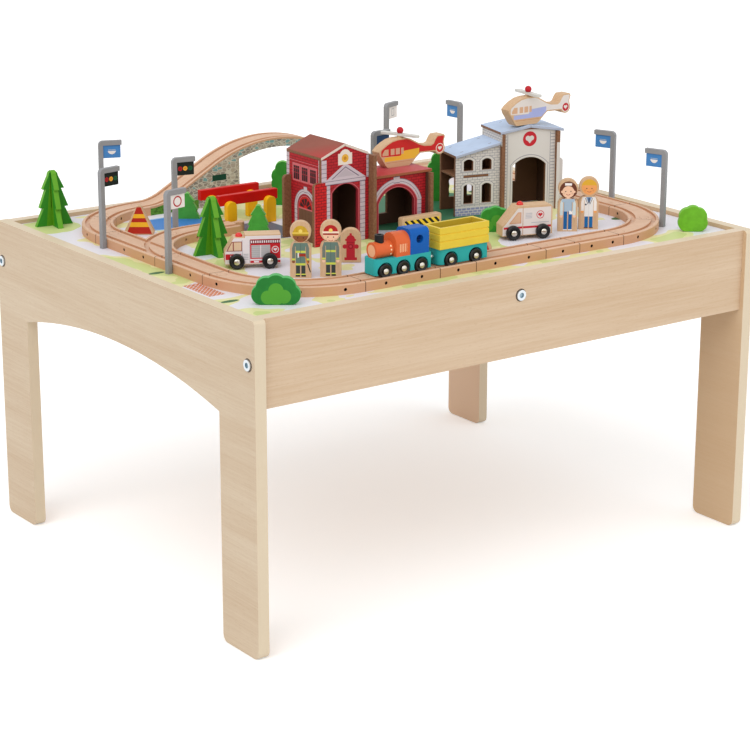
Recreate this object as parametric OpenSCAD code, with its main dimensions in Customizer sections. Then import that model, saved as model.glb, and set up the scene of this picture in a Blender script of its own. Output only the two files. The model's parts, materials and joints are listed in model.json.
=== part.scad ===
// Wooden train table for children: a low play table on two arched end panels,
// with a railway loop, a train, road vehicles, buildings and loose figures on it.
// The long side lies along X, the front faces -Y, and the floor is at Z = 0.

/* [Table] */
// Length over the outer faces of the end panels
table_l = 760; // [740:1:860]
// Width of the end panels
table_w = 612; // [606:1:700]
// Height of the rim above the floor
table_h = 400; // [360:1:480]
// Thickness of the end panels and aprons
panel_t = 15; // [12:0.5:18]
// Width of each leg
leg_w = 75; // [50:1:110]
// Height of the arch between two legs at its middle
arch_top_h = 307; // [280:1:330]
// Rise of the arch from the legs to its middle
arch_rise = 28; // [12:1:60]
// Radius of the rounded leg corners
leg_corner_r = 9; // [3:0.5:15]
// Height of the front and back aprons
apron_h = 104; // [92:1:130]
// Distance of the aprons from the panel edges
apron_inset = 6; // [2:0.5:10]
// Drop from the rim to the play board
board_drop = 5; // [3:0.5:9]
// Thickness of the play board
board_t = 6; // [4:0.5:9]
// Width of the rail under the board
rail_w = 18; // [14:1:30]
// Height of the rail under the board
rail_h = 36; // [28:1:50]
// Side of the square cleats that carry the board
cleat_w = 15; // [10:1:20]

/* [Connecting bolts] */
// Diameter of the bolt shanks
bolt_d = 6; // [5:0.5:7]
// Length of the bolt shanks
bolt_l = 50; // [44:1:60]
// Diameter of the bolt heads
bolt_head_d = 13; // [11:0.5:16]
// Height of the bolt heads
bolt_head_h = 2; // [1.5:0.25:3]
// Diameter of the cross dowel nuts
nut_d = 10; // [9:0.5:11]
// Length of the cross dowel nuts
nut_l = 12; // [10:0.5:12]

/* [Track] */
// Width of the track
track_w = 40; // [38:0.5:43]
// Thickness of the track
track_h = 12; // [10:0.5:14]
// Distance between the two wheel grooves, from middle to middle
gauge = 26; // [24:0.5:27]
// Width of a wheel groove
groove_w = 6; // [5.6:0.1:6.4]
// Depth of a wheel groove
groove_d = 3; // [2:0.25:4]
// Radius of the loop's curves at the middle of the track
curve_r = 116; // [110:1:122]
// Length of a long straight
straight_long = 108; // [104:1:112]
// Length of a medium straight
straight_mid = 72; // [70:1:80]
// Length of a short straight
straight_short = 54; // [50:1:58]
// Length of the switch and of its matching straight
switch_l = 144; // [138:1:150]
// Radius of the branch at the middle of the track
branch_r = 100; // [92:1:104]
// Diameter of a joint peg's round head
peg_d = 11.5; // [10:0.25:13]
// Width of a joint peg's neck
peg_neck_w = 6; // [4:0.25:7]
// Reach from the joint to the middle of the peg's head
peg_reach = 11; // [9:0.5:13]
// Diameter of the accessory holes in the track's sides
side_hole_d = 4; // [3:0.25:5]
// Depth of the accessory holes
side_hole_depth = 5; // [4:0.25:6]

/* [Bridge] */
// Height of the bridge's running surface above the board
bridge_h = 82; // [74:1:90]
// Steepest slope of the ramps in degrees
ramp_angle = 28.8; // [27:0.1:31]
// Radius of the crown's running surface
crown_r = 200; // [180:1:210]
// Length of the crown piece
crown_l = 140; // [134:1:150]
// Clear width of the arch under the crown
arch_span = 118; // [104:1:124]
// Height of the piers under the crown
pier_h = 60; // [56:0.5:61]
// Rise of the arch under the crown
soffit_rise = 9.5; // [7:0.5:12]

/* [Guard rails] */
// Height of the guard rail posts
rail_post_h = 34; // [30:1:38]
// Width of the guard rail posts
rail_post_w = 15; // [12:0.5:18]
// Thickness of the guard rail posts and beams
rail_board_t = 8; // [6:0.5:10]
// Length of a guard rail beam
beam_l = 90; // [84:1:96]
// Height of a guard rail beam
beam_h = 13.5; // [11:0.5:16]
// Height of the beam's underside above the board
beam_z = 28; // [24:0.5:29]
// Distance between the two guard rails
rail_pair_gap = 44; // [40:1:50]

/* [Train] */
// Diameter of the train's wheels
train_wheel_d = 17.6; // [16:0.2:18.6]
// Width of the train's wheels
train_wheel_w = 5; // [4:0.1:5.2]
// Diameter of all axles
axle_d = 4; // [3:0.25:5]
// Length of the engine's chassis
loco_l = 79; // [77:0.5:82]
// Length of the wagon's chassis
wagon_l = 72; // [70:0.5:76]
// Width of both chassis
chassis_w = 28; // [27:0.5:29]
// Height of both chassis
chassis_h = 19; // [17:0.5:21]
// Height of the chassis above the groove's floor
chassis_lift = 4.5; // [3.5:0.25:5.5]
// Distance between the engine's axles
loco_axle_gap = 26; // [25:0.25:27]
// Distance between the wagon's axles
wagon_axle_gap = 37; // [35:0.5:40]
// Diameter of the boiler's slim front
boiler_d = 20; // [18:0.5:22]
// Length of the boiler's slim front
boiler_front_l = 26; // [24:0.5:28]
// Length of the boiler's round-topped rear
boiler_rear_l = 20; // [18:0.5:21]
// Width and height of the boiler's rear
boiler_rear_w = 27; // [25:0.5:28]
// Length of the driver's cab
cab_l = 27; // [24:0.5:29]
// Height of the driver's cab
cab_h = 30; // [28:0.5:34]
// Diameter of the round window through the cab
cab_window_d = 10; // [8:0.5:12]
// Diameter of the chimney
chimney_d = 11; // [9:0.5:12]
// Height of the chimney above the boiler's axis
chimney_h = 18; // [16:0.5:20]
// Length of the wagon's box
box_l = 74; // [72:0.5:76]
// Width of the wagon's box
box_w = 32; // [30:0.5:34]
// Height of the wagon's box
box_h = 26; // [23:0.5:28]
// Thickness of the wagon's box walls
box_wall = 4; // [3:0.25:5]
// Diameter of the coupling magnets
magnet_d = 9; // [7:0.5:10]
// Length of a coupling magnet
magnet_l = 6; // [5:0.25:7]

/* [Road vehicles] */
// Diameter of the road wheels
road_wheel_d = 18.5; // [17:0.25:20]
// Width of the road wheels
road_wheel_w = 6; // [5:0.25:7]
// Width of the road vehicles' bodies
road_body_w = 22; // [20:0.5:25]
// Height of the bodies above the board
road_clearance = 5; // [4:0.25:6]
// Length of the fire truck
truck_l = 67; // [64:0.5:70]
// Height of the fire truck
truck_h = 41; // [39:0.5:44]
// Distance between the fire truck's axles
truck_axle_gap = 39.5; // [38:0.5:41]
// Length of the ambulance
ambulance_l = 67; // [64:0.5:70]
// Height of the ambulance
ambulance_h = 42.5; // [40:0.5:45]
// Distance between the ambulance's axles
ambulance_axle_gap = 40; // [38:0.5:42]
// Diameter of the warning lights
beacon_d = 9; // [8:0.25:10]

/* [Helicopters] */
// Length from nose to tail
heli_l = 106; // [100:1:112]
// Height of the cabin
heli_h = 36.4; // [33:0.2:39]
// Thickness of the body
heli_t = 16; // [13:0.5:19]
// Length of a rotor
rotor_l = 58; // [50:1:64]
// Width of a rotor
rotor_w = 9; // [7.5:0.5:11]
// Thickness of a rotor
rotor_t = 3; // [2:0.25:4]
// Diameter of the rotor pins
rotor_pin_d = 4; // [3:0.25:4.5]
// Diameter of the ball on a rotor pin
cap_d = 9; // [8:0.25:10]

/* [Buildings] */
// Thickness of the building panels
wall_t = 5; // [4:0.25:6]
// Thickness of the roof plates
roof_t = 3.5; // [2.5:0.25:4.5]
// Reach of the panels past the walls that they cross
fin = 10.5; // [8:0.5:14]
// Height of the crossing panels' lower ends
fin_h = 80; // [68:1:84]

/* [Fire station] */
// Width of the tower
tower_w = 72; // [70:1:76]
// Depth of the garage, from the tower's front
station_d = 60; // [56:1:64]
// Depth of the tower
tower_d = 72; // [68:1:76]
// Height of the tower's eaves
tower_eave = 108; // [100:1:112]
// Height of the tower's ridge above its eaves
tower_rise = 14.5; // [12:0.5:18]
// Width of the tower's doorway
tower_door_w = 39; // [34:1:44]
// Height of the tower's doorway
tower_door_h = 75; // [68:1:80]
// Width of the garage between its walls
garage_w = 92; // [88:1:96]
// Height of the garage walls
garage_h = 73; // [70:1:78]
// Set-back of the garage front
garage_back = 10; // [6:0.5:13]
// Width of the garage gate
gate_w = 56; // [50:1:66]
// Height of the garage gate
gate_h = 58; // [54:1:64]

/* [Hospital] */
// Turn of the hospital to the right in degrees
hospital_turn = 14; // [10:1:17]
// Width of the wing
wing_w = 64; // [60:1:67]
// Depth of the wing
wing_d = 52; // [48:1:56]
// Height of the wing at its low end
wing_low_h = 78; // [76:0.5:81]
// Height of the wing at the tower
wing_high_h = 92; // [90:0.5:96]
// Width of the tower's front
ward_w = 75; // [71:1:78]
// Depth of the tower
ward_d = 58; // [54:1:62]
// Height of the tower's eaves
ward_eave = 105; // [103:0.5:109]
// Height of the tower's ridge above its eaves
ward_rise = 6.5; // [5:0.5:9]
// Width of the tower's doorway
ward_door_w = 48; // [42:1:54]
// Height of the tower's doorway
ward_door_h = 72; // [66:1:78]
// Width of the wing's windows
window_w = 13.5; // [12:0.5:16]

/* [Signs] */
// Height of the sign posts
sign_h = 100; // [92:1:108]
// Thickness of the sign posts
sign_bar = 6; // [5:0.25:7]
// Width of a sign panel
sign_w = 23; // [20:0.5:26]
// Height of a sign panel
sign_panel_h = 17; // [14:0.5:20]
// Thickness of a sign panel
sign_t = 3.5; // [2.5:0.25:4.5]

/* [Trees and figures] */
// Height of a pine tree
pine_h = 72; // [64:1:80]
// Width of a pine tree at its foot
pine_w = 50; // [44:1:53]
// Thickness of a pine tree's two boards
pine_t = 7; // [6:0.5:9]
// Thickness of the flat wooden blocks
block_t = 10; // [8:0.5:12]
// Height of a figure
figure_h = 68; // [62:1:74]
// Width of a figure
figure_w = 25; // [22:0.5:27]
// Width of a traffic cone
cone_w = 38; // [34:1:40]
// Height of a traffic cone
cone_h = 38; // [34:1:42]
// Length of a barrier block
barrier_l = 62; // [56:1:66]
// Height of a barrier block
barrier_h = 24; // [20:0.5:28]
// Width of the hydrant block
hydrant_w = 25; // [22:0.5:27]
// Height of the hydrant block
hydrant_h = 42; // [38:1:46]
// Width of the large leafy trees
leafy_w = 30; // [26:1:33]
// Height of the large leafy trees
leafy_h = 66; // [60:1:74]
// Width of the broad flat fir trees
fir_w = 34; // [30:1:40]
// Height of the broad flat fir trees
fir_h = 38; // [33:1:44]
// Width of the largest bush
bush_w = 56; // [50:1:60]

/* [Hidden] */

$fn = 48;
// Overrun of every cut past the face that it opens
over = 1;
// Clearance of parts that are only laid or plugged together
loose = 0.4;
// Radial clearance of parts that turn on a pin
running = 0.1;
// Gap between a turning or rolling part and its neighbour
run_gap = 0.3;

// Table
board_z = table_h - board_drop;
board_under_z = board_z - board_t;
apron_y = table_w / 2 - apron_inset - panel_t / 2;
apron_inner_y = apron_y - panel_t / 2;
inner_x = table_l / 2 - panel_t;
arch_half = table_w / 2 - leg_w;
arch_r = (arch_half * arch_half + arch_rise * arch_rise) / (2 * arch_rise);
rim_corner_r = leg_corner_r / 2;
rail_z = board_under_z - rail_h / 2;
bolt_z = table_h - apron_h / 2;
bolt_hole_d = bolt_d + loose;
hex_socket_w = bolt_head_d / 2;
nut_inset = panel_t / 2;
nut_reach = bolt_l - nut_d;

// Track
rail_floor_z = board_z + track_h - groove_d;
track_edge = 1;
peg_root = peg_d / 2;
socket_fit = loose;
// Gap left in a joint between two track pieces
joint_gap = 0.2;
front_run = 2 * straight_long + 2 * straight_short + straight_mid;
side_run = switch_l + straight_long;
loop_l = front_run + 2 * curve_r;
loop_w = side_run + 2 * curve_r;
loop_shift_x = 4;
loop_shift_y = 7;
front_y = loop_shift_y - loop_w / 2;
back_y = loop_shift_y + loop_w / 2;
left_x = loop_shift_x - loop_l / 2;
right_x = loop_shift_x + loop_l / 2;
run_x0 = left_x + curve_r;
run_x1 = right_x - curve_r;
run_y0 = front_y + curve_r;
run_y1 = back_y - curve_r;
curve_turn = 45;
branch_y = run_y0 + straight_long;
hole_shares = [0.27, 0.75];
long_hole_shares = [0.19, 0.51, 0.81];
middle_shares = [0.5];

// Bridge
bridge_half = front_run / 2;
foot_r = (bridge_half * tan(ramp_angle) - (bridge_h - track_h)) / (1 / cos(ramp_angle) - 1) - crown_r;
crown_half = crown_l / 2;
arch_half_span = arch_span / 2;
soffit_r = (arch_half_span * arch_half_span + soffit_rise * soffit_rise) / (2 * soffit_rise);
profile_steps = 16;

// Guard rails
guard_rail_share = [-0.379, 0.409];

// Train
wheel_r = train_wheel_d / 2;
train_axle_z = rail_floor_z + run_gap + wheel_r;
chassis_z = rail_floor_z + chassis_lift;
chassis_top = chassis_z + chassis_h;
wheel_inner_y = gauge / 2 - train_wheel_w / 2;
wheel_pocket = wheel_inner_y - run_gap;
pocket_gap = 1.6;
pocket_r = wheel_r + pocket_gap;
hub_d_share = 0.42;
hub_recess_share = 0.25;
hub_d = train_wheel_d * hub_d_share;
loco_front_set = 19.5;
loco_front_x = run_x0 + loco_front_set;
loco_nose = 13;
chassis_corner_r = 7;
loco_axle_x = loco_front_x + loco_nose;
wagon_front_x = loco_front_x + loco_l + 2 * magnet_l + run_gap;
wagon_axle_x = wagon_front_x + (wagon_l - wagon_axle_gap) / 2;
boiler_flat = 1.5;
boiler_z = chassis_top + boiler_d / 2 - boiler_flat;
boiler_set = 3;
boiler_x = loco_front_x + boiler_set;
chimney_set_share = 0.42;
chimney_x = boiler_x + boiler_front_l * chimney_set_share;
chimney_pin_d = chimney_d / 2;
chimney_pin_l = boiler_d / 4;
cab_x = boiler_x + boiler_front_l + boiler_rear_l;
cab_window_share = 0.58;
box_floor = box_wall;
plank_cut = 1.2;
plank_shares = [0.34, 0.67];
magnet_z = chassis_z + chassis_h / 2;

// Road vehicles
road_r = road_wheel_d / 2;
road_axle_z = board_z + run_gap + road_r;
road_z = board_z + road_clearance;
beacon_h = beacon_d / 2;
truck_share = [-0.758, -0.351];
truck_turn = -28;
truck_slope_share = 0.16;
truck_cab_share = 0.36;
truck_step = 3.5;
truck_bonnet_share = 0.42;
truck_beacon_share = 0.26;
ambulance_share = [0.395, -0.649];
ambulance_turn = -18;
ambulance_bonnet_share = 0.36;
ambulance_slope_share = 0.3;
ambulance_beacon_share = 0.4;
body_corner_r = 2.5;

// Helicopters
view_turn = -36;
heli_shares = [[0, 0.6], [0.019, 0.44], [0.057, 0.29], [0.094, 0.12], [0.132, 0], [0.453, 0], [0.5, 0.08],
    [0.566, 0.26], [0.623, 0.39], [0.87, 0.37], [0.986, 0.55], [0.981, 0.71], [1, 0.88], [0.981, 0.956],
    [0.877, 0.948], [0.844, 0.84], [0.816, 0.69], [0.783, 0.643], [0.679, 0.67], [0.61, 0.74], [0.538, 0.85],
    [0.472, 0.95], [0.415, 1], [0.283, 1], [0.198, 0.96], [0.113, 0.85], [0.047, 0.73]];
tail_share = [0.92, 0.467];
tail_d_share = 0.45;
mast_wall = 2;
mast_d = rotor_pin_d + 2 * mast_wall;
mast_share = 0.368;
mast_h = 2;
rotor_z = heli_h + mast_h + run_gap;
cap_z = rotor_z + rotor_t + run_gap;
pin_depth = 10;
red_heli_x = 117;
red_heli_y = 48;
red_rotor_turn = -70;
white_rotor_turn = -97;

// Buildings
station_share = [-0.3626, -0.211];
fin_r = 5;
tower_tail = 5;
mid_wall_x = tower_w;
garage_x = tower_w + wall_t;
garage_right_x = garage_x + garage_w;
tower_slope = tower_rise / (tower_w / 2);
door_rise_share = 0.26;
gate_rise_share = 0.34;
eave_reach = 3;
hospital_share = [0.392, -0.066];
ward_left_x = wing_w;
ward_x = wing_w + wall_t;
ward_right_x = ward_x + ward_w;
ward_total = ward_w + 2 * wall_t;
ward_slope = ward_rise / (ward_total / 2);
wing_slope = (wing_high_h - wing_low_h) / wing_w;
ward_fin = fin / 2;
ward_reach = 3;
ward_left_reach = 1;
ward_right_reach = 6;
ward_end_w = 7;
ward_end_h = 68;
ward_back_share = 0.5;
ward_back_z = 28.5;
window_rise_share = 0.22;
window_x_shares = [0.185, 0.595];
window_low_z = 16;
window_low_h = 25;
window_high_z = 60;
window_high_h = 14;
slot_z = 51;
slot_h = 3;
slot_x_share = 0.18;
slot_l_share = 0.56;
back_window_share = 0.4;
white_heli_ridge_share = 0.2;
white_heli_x_share = 0.52;

// Signs: place, turns of the pin and the arm, and whether the track gets a hole for this pin alone
post_half = sign_bar * sqrt(2) / 2;
sign_off = track_w / 2 + post_half + run_gap;
sign_r = curve_r + sign_off;
branch_sign_r = branch_r + sign_off;
pin_d = side_hole_d - 2 * loose;
pin_l = side_hole_depth - over + run_gap + post_half;
left_sign_share = 0.372;
branch_centre = [left_x + branch_r, branch_y];
branch_turn = 60;
branch_rest_turn = 90 - branch_turn;
hole_turn = curve_turn / 4;
free_sign_share = [0.247, 0.427];
free_sign_turn = 6;
right_sign_share = 0.417;
signs = [
    [left_x - sign_off, branch_y + switch_l * long_hole_shares[2], 0, 10, false],
    concat(ring_point([run_x0, run_y1], 112), [-20, true]),
    concat(ring_point(branch_centre, 90 + branch_rest_turn / 4, branch_sign_r), [-11, false]),
    [left_x - sign_off, branch_y - straight_long * left_sign_share, 0, 10, true],
    concat(ring_point([run_x1, run_y1], 82.2), [22, true]),
    concat(ring_point([run_x1, run_y1], 38), [95, true]),
    [right_x + sign_off, run_y0 + straight_long * right_sign_share, 180, 112, true],
    concat(ring_point([run_x1, run_y0], -39.5), [110, true])
];

// Trees, figures and blocks: places and sizes as shares
pine_shares = [[-1.041, 1.026], [-0.777, -0.017]];
pine_turn = -7;
pine_foot_shares = [1, 0.78, 0.59];
pine_top_shares = [0.56, 0.4, 0.26];
fir_shares = [[-0.529, 0.752], [-0.446, 0.215]];
fir_w_shares = [1, 0.95];
fir_foot_shares = [1, 0.82, 0.6];
fir_top_shares = [0.64, 0.42, 0.2];
fir_h_shares = [0.9, 1];
leafy_shares = [[-0.06, 0.735], [0.53, 0.318]];
leafy_h_shares = [0.9, 1];
bush_shares = [[-0.994, -1.025], [0.363, -0.459], [1.022, -1.058]];
bush_w_shares = [1, 0.75, 0.68];
bush_h_shares = [0.63, 0.59, 0.6];
figure_shares = [[-0.701, -0.669], [-0.602, -0.74], [0.611, -0.665], [0.704, -0.694]];
figure_neck_share = 0.64;
cone_shares = [[-0.838, 0.574], [0.101, -0.728]];
barrier_shares = [[0.095, -0.26], [0.752, 0.756]];
barrier_size_shares = [1, 0.5];
hydrant_share = [-0.411, -0.558];
block_corner_r = 3;

// Point on the loop at shares of its half length and half width
function place(share) = [loop_shift_x + share[0] * loop_l / 2, loop_shift_y + share[1] * loop_w / 2, board_z];

// Point beside a curve's outer edge, with the direction to its middle
function ring_point(centre, turn, r = sign_r) =
    [centre[0] + r * cos(turn), centre[1] + r * sin(turn), turn + 180];

// Height of the bridge's running surface at a distance from its middle
function hump(x) =
    x < crown_r * sin(ramp_angle) ? bridge_h - crown_r + sqrt(crown_r * crown_r - x * x) :
    x < bridge_half - foot_r * sin(ramp_angle) ?
        bridge_h - crown_r * (1 - cos(ramp_angle)) - (x - crown_r * sin(ramp_angle)) * tan(ramp_angle) :
    track_h + foot_r - sqrt(foot_r * foot_r - (bridge_half - x) * (bridge_half - x));

// Height of the arch's underside at a distance from its middle
function soffit(x) = pier_h + soffit_rise - soffit_r + sqrt(soffit_r * soffit_r - x * x);

// Outline points of the running surface between two distances, lifted by an amount
function surface_points(from, to, lift) =
    [for (i = [0 : profile_steps])
        let (x = from + (to - from) * i / profile_steps) [x, hump(abs(x)) + lift]];

// Turns an outline to stand across X, with its height along Z
module along_x() {
    rotate([90, 0, 90]) children();
}

// Turns an outline to stand along X, and pushes it back by a thickness
module upright(t) {
    translate([0, t, 0]) rotate([90, 0, 0]) linear_extrude(t) children();
}

// Turns an outline to stand along X, centred on its thickness
module upright_centred(t) {
    translate([0, t / 2, 0]) rotate([90, 0, 0]) linear_extrude(t) children();
}

// Puts a block on the board, turned to face the front left
module facing(share, turn = view_turn) {
    translate(place(share)) rotate(turn) children();
}

// Removes a square corner outside a radius, at the origin, along X
module corner_cut(r, l, turn) {
    rotate([turn, 0, 0]) difference() {
        translate([-over, -over, -over]) cube([l + 2 * over, r + over, r + over]);
        translate([-2 * over, r, r]) rotate([0, 90, 0]) cylinder(r = r, h = l + 4 * over);
    }
}

// Rectangle with round upper corners
module round_top(w, h, r) {
    translate([-w / 2, 0]) square([w, h - r]);
    translate([r - w / 2, 0]) square([w - 2 * r, h]);
    for (side = [-1, 1]) translate([side * (w / 2 - r), h - r]) circle(r);
}

// Doorway outline with a flat arch on top
module arched(w, h, rise) {
    r = (w * w / 4 + rise * rise) / (2 * rise);
    intersection() {
        translate([-w / 2, -over]) square([w, h + over]);
        union() {
            translate([-w, -over]) square([2 * w, h - rise]);
            translate([0, h - r]) circle(r, $fn = 96);
        }
    }
}

// Table panels and rails

module end_panel(side) {
    color("burlywood") translate([side < 0 ? -table_l / 2 : inner_x, 0, 0]) difference() {
        translate([0, -table_w / 2, 0]) cube([panel_t, table_w, table_h]);
        intersection() {
            translate([-over, -arch_half, -over]) cube([panel_t + 2 * over, 2 * arch_half, arch_top_h + over]);
            translate([-over, 0, arch_top_h - arch_r]) rotate([0, 90, 0])
                cylinder(r = arch_r, h = panel_t + 2 * over, $fn = 180);
        }
        for (y = [-table_w / 2, arch_half]) translate([0, y, 0]) corner_cut(leg_corner_r, panel_t, 0);
        for (y = [-arch_half, table_w / 2]) translate([0, y, 0]) corner_cut(leg_corner_r, panel_t, 90);
        translate([0, -table_w / 2, table_h]) corner_cut(rim_corner_r, panel_t, 270);
        translate([0, table_w / 2, table_h]) corner_cut(rim_corner_r, panel_t, 180);
        for (y = [-apron_y, apron_y]) translate([-over, y, bolt_z]) rotate([0, 90, 0])
            cylinder(d = bolt_hole_d, h = panel_t + 2 * over);
    }
}

module apron(side) {
    y = side * apron_y;
    inner_face = y - side * panel_t / 2;
    color("burlywood") difference() {
        translate([-inner_x, y - panel_t / 2, table_h - apron_h]) cube([2 * inner_x, panel_t, apron_h]);
        translate([0, y, rail_z]) rotate([90, 0, 0])
            cylinder(d = bolt_hole_d, h = panel_t + 2 * over, center = true);
        for (end = [-1, 1]) {
            translate([end * (inner_x + over), y, bolt_z]) rotate([0, -end * 90, 0])
                cylinder(d = bolt_hole_d, h = bolt_l - panel_t + 2 * over);
            translate([end * (table_l / 2 - nut_reach), inner_face + side * (nut_l + loose), bolt_z])
                rotate([side * 90, 0, 0]) cylinder(d = nut_d + loose, h = nut_l + loose + over);
        }
    }
}

module end_panel_left() end_panel(-1);
module end_panel_right() end_panel(1);
module front_apron() apron(-1);
module back_apron() apron(1);

module play_board() {
    l = 2 * (inner_x - loose);
    w = 2 * (apron_inner_y - loose);
    color("palegreen") translate([-l / 2, -w / 2, board_under_z]) cube([l, w, board_t]);
}

module cross_rail() {
    color("burlywood") difference() {
        translate([-rail_w / 2, -apron_inner_y, rail_z - rail_h / 2]) cube([rail_w, 2 * apron_inner_y, rail_h]);
        for (side = [-1, 1]) {
            translate([0, side * (apron_inner_y + over), rail_z]) rotate([side * 90, 0, 0])
                cylinder(d = bolt_hole_d, h = bolt_l - panel_t + 2 * over);
            translate([nut_inset - nut_l - loose, side * (table_w / 2 - apron_inset - nut_reach), rail_z])
                rotate([0, 90, 0]) cylinder(d = nut_d + loose, h = rail_w);
        }
    }
}

module board_cleats() {
    z = board_under_z - cleat_w;
    color("tan") {
        for (side = [-1, 1]) {
            end_x = side < 0 ? -inner_x : inner_x - cleat_w;
            translate([end_x, -apron_inner_y, z]) cube([cleat_w, 2 * apron_inner_y, cleat_w]);
            for (half = [-1, 1]) {
                cleat_l = inner_x - cleat_w - rail_w / 2 - 2 * loose;
                x = half < 0 ? -inner_x + cleat_w + loose : rail_w / 2 + loose;
                y = side < 0 ? -apron_inner_y : apron_inner_y - cleat_w;
                translate([x, y, z]) cube([cleat_l, cleat_w, cleat_w]);
            }
        }
    }
}

// Bolt with its head on the face at the origin and its shank along -X
module bolt() {
    difference() {
        union() {
            rotate([0, 90, 0]) cylinder(d = bolt_head_d, h = bolt_head_h);
            rotate([0, -90, 0]) cylinder(d = bolt_d, h = bolt_l);
        }
        translate([bolt_head_h / 4, 0, 0]) rotate([0, 90, 0]) cylinder(d = hex_socket_w, h = bolt_head_h, $fn = 6);
    }
}

// Cross dowel with its threaded hole along X
module barrel_nut() {
    difference() {
        cylinder(d = nut_d, h = nut_l);
        translate([-nut_d, 0, nut_l - nut_inset]) rotate([0, 90, 0]) cylinder(d = bolt_hole_d, h = 2 * nut_d);
    }
}

module connecting_bolts() {
    color("silver") {
        for (end = [0, 180]) for (side = [-1, 1])
            rotate(end) translate([table_l / 2, side * apron_y, bolt_z]) bolt();
        for (end = [90, 270]) rotate(end) translate([table_w / 2 - apron_inset, 0, rail_z]) bolt();
    }
}

module barrel_nuts() {
    color("gray") {
        for (end = [0, 180]) for (side = [-1, 1]) rotate(end)
            translate([table_l / 2 - nut_reach, side * (apron_y + nut_l - nut_inset), bolt_z])
                rotate([side * 90, 0, 0]) barrel_nut();
        for (side = [-1, 1])
            translate([nut_inset - nut_l, side * (table_w / 2 - apron_inset - nut_reach), rail_z])
                rotate([0, 90, 0]) rotate(90) barrel_nut();
    }
}

// Railway track

module track_section() {
    half = track_w / 2;
    polygon([[-half, 0], [half, 0], [half, track_h - track_edge], [half - track_edge, track_h],
        [track_edge - half, track_h], [-half, track_h - track_edge]]);
}

module groove_sections() {
    for (side = [-1, 1]) translate([side * gauge / 2 - groove_w / 2, track_h - groove_d])
        square([groove_w, groove_d + over]);
}

// Joint peg past the origin along X
module peg() {
    translate([-peg_root, -peg_neck_w / 2, 0]) cube([peg_root + peg_reach, peg_neck_w, track_h]);
    translate([peg_reach, 0, 0]) cylinder(d = peg_d, h = track_h);
}

// Cut for a joint peg that enters along X at the origin
module socket(h = track_h) {
    translate([-over, -peg_neck_w / 2 - socket_fit, -over])
        cube([peg_reach + over, peg_neck_w + 2 * socket_fit, h + 2 * over]);
    translate([peg_reach, 0, -over]) cylinder(d = peg_d + 2 * socket_fit, h = h + 2 * over);
}

// Accessory hole into a track's side at the origin, along Y
module side_hole() {
    translate([0, -over, track_h / 2]) rotate([-90, 0, 0]) cylinder(d = side_hole_d, h = side_hole_depth + over);
}

// Holes for the pins of signs that stand between the usual holes
module sign_holes() {
    for (sign = signs) if (sign[4]) translate([sign[0], sign[1], board_z + track_h / 2]) rotate(sign[2])
        rotate([0, 90, 0]) cylinder(d = side_hole_d, h = post_half + run_gap + side_hole_depth);
}

module straight_holes(l, shares) {
    for (share = shares) {
        translate([l * share, -track_w / 2, 0]) side_hole();
        translate([l * share, track_w / 2, 0]) mirror([0, 1, 0]) side_hole();
    }
}

module straight_grooves(l) {
    translate([-over, 0, 0]) along_x() linear_extrude(l + 2 * over) groove_sections();
}

module straight_body(l) {
    along_x() linear_extrude(l - joint_gap) track_section();
}

// Straight from the origin along X, with a socket at its start and a peg at its end
module straight_piece(l, shares = hole_shares) {
    difference() {
        union() {
            straight_body(l);
            translate([l, 0, 0]) peg();
        }
        straight_grooves(l);
        socket();
        straight_holes(l, shares);
    }
}

module curve_body(r, turn) {
    gap_turn = asin(joint_gap / r);
    translate([0, r, 0]) rotate(-90) rotate_extrude(angle = turn - gap_turn, $fn = 96)
        translate([r, 0]) track_section();
}

module curve_grooves(r, turn) {
    lead = 1;
    translate([0, r, 0]) rotate(-90 - lead)
        rotate_extrude(angle = turn + 2 * lead, $fn = 96) translate([r, 0]) groove_sections();
}

module curve_end(r, turn) {
    translate([0, r, 0]) rotate(turn) translate([0, -r, 0]) children();
}

// Curve to the left from the origin, with a socket at its start and a peg at its end
module curve_piece(r, turn) {
    difference() {
        union() {
            curve_body(r, turn);
            curve_end(r, turn) peg();
        }
        curve_grooves(r, turn);
        socket();
        for (i = [1, 3]) curve_end(r, turn * i / 4) {
            translate([0, -track_w / 2, 0]) side_hole();
            translate([0, track_w / 2, 0]) mirror([0, 1, 0]) side_hole();
        }
    }
}

module straight_tracks() {
    front = [straight_long, straight_short, straight_long, straight_short, straight_mid];
    starts = [0, straight_long, straight_long + straight_short, 2 * straight_long + straight_short,
        2 * straight_long + 2 * straight_short];
    color("bisque") difference() {
        union() {
            for (i = [0 : len(front) - 1]) translate([run_x0 + starts[i], front_y, board_z])
                straight_piece(front[i], front[i] == straight_short ? middle_shares : hole_shares);
            translate([right_x, run_y0, board_z]) rotate(90) straight_piece(straight_long);
            translate([right_x, run_y0 + straight_long, board_z]) rotate(90)
                straight_piece(switch_l, long_hole_shares);
            translate([left_x, branch_y, board_z]) rotate(-90) straight_piece(straight_long);
            translate([left_x + branch_r, branch_y + branch_r, board_z])
                straight_piece(straight_short, middle_shares);
        }
        sign_holes();
    }
}

module curved_tracks() {
    corners = [[run_x1, front_y, 0], [right_x, run_y1, 90], [run_x0, back_y, 180], [left_x, run_y0, 270]];
    color("bisque") difference() {
        union() {
            for (corner = corners) translate([corner[0], corner[1], board_z]) rotate(corner[2]) {
                curve_piece(curve_r, curve_turn);
                curve_end(curve_r, curve_turn) curve_piece(curve_r, curve_turn);
            }
            translate([left_x, branch_y, board_z]) rotate(90) mirror([0, 1, 0])
                curve_end(branch_r, branch_turn) curve_piece(branch_r, branch_rest_turn);
        }
        sign_holes();
    }
}

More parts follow.
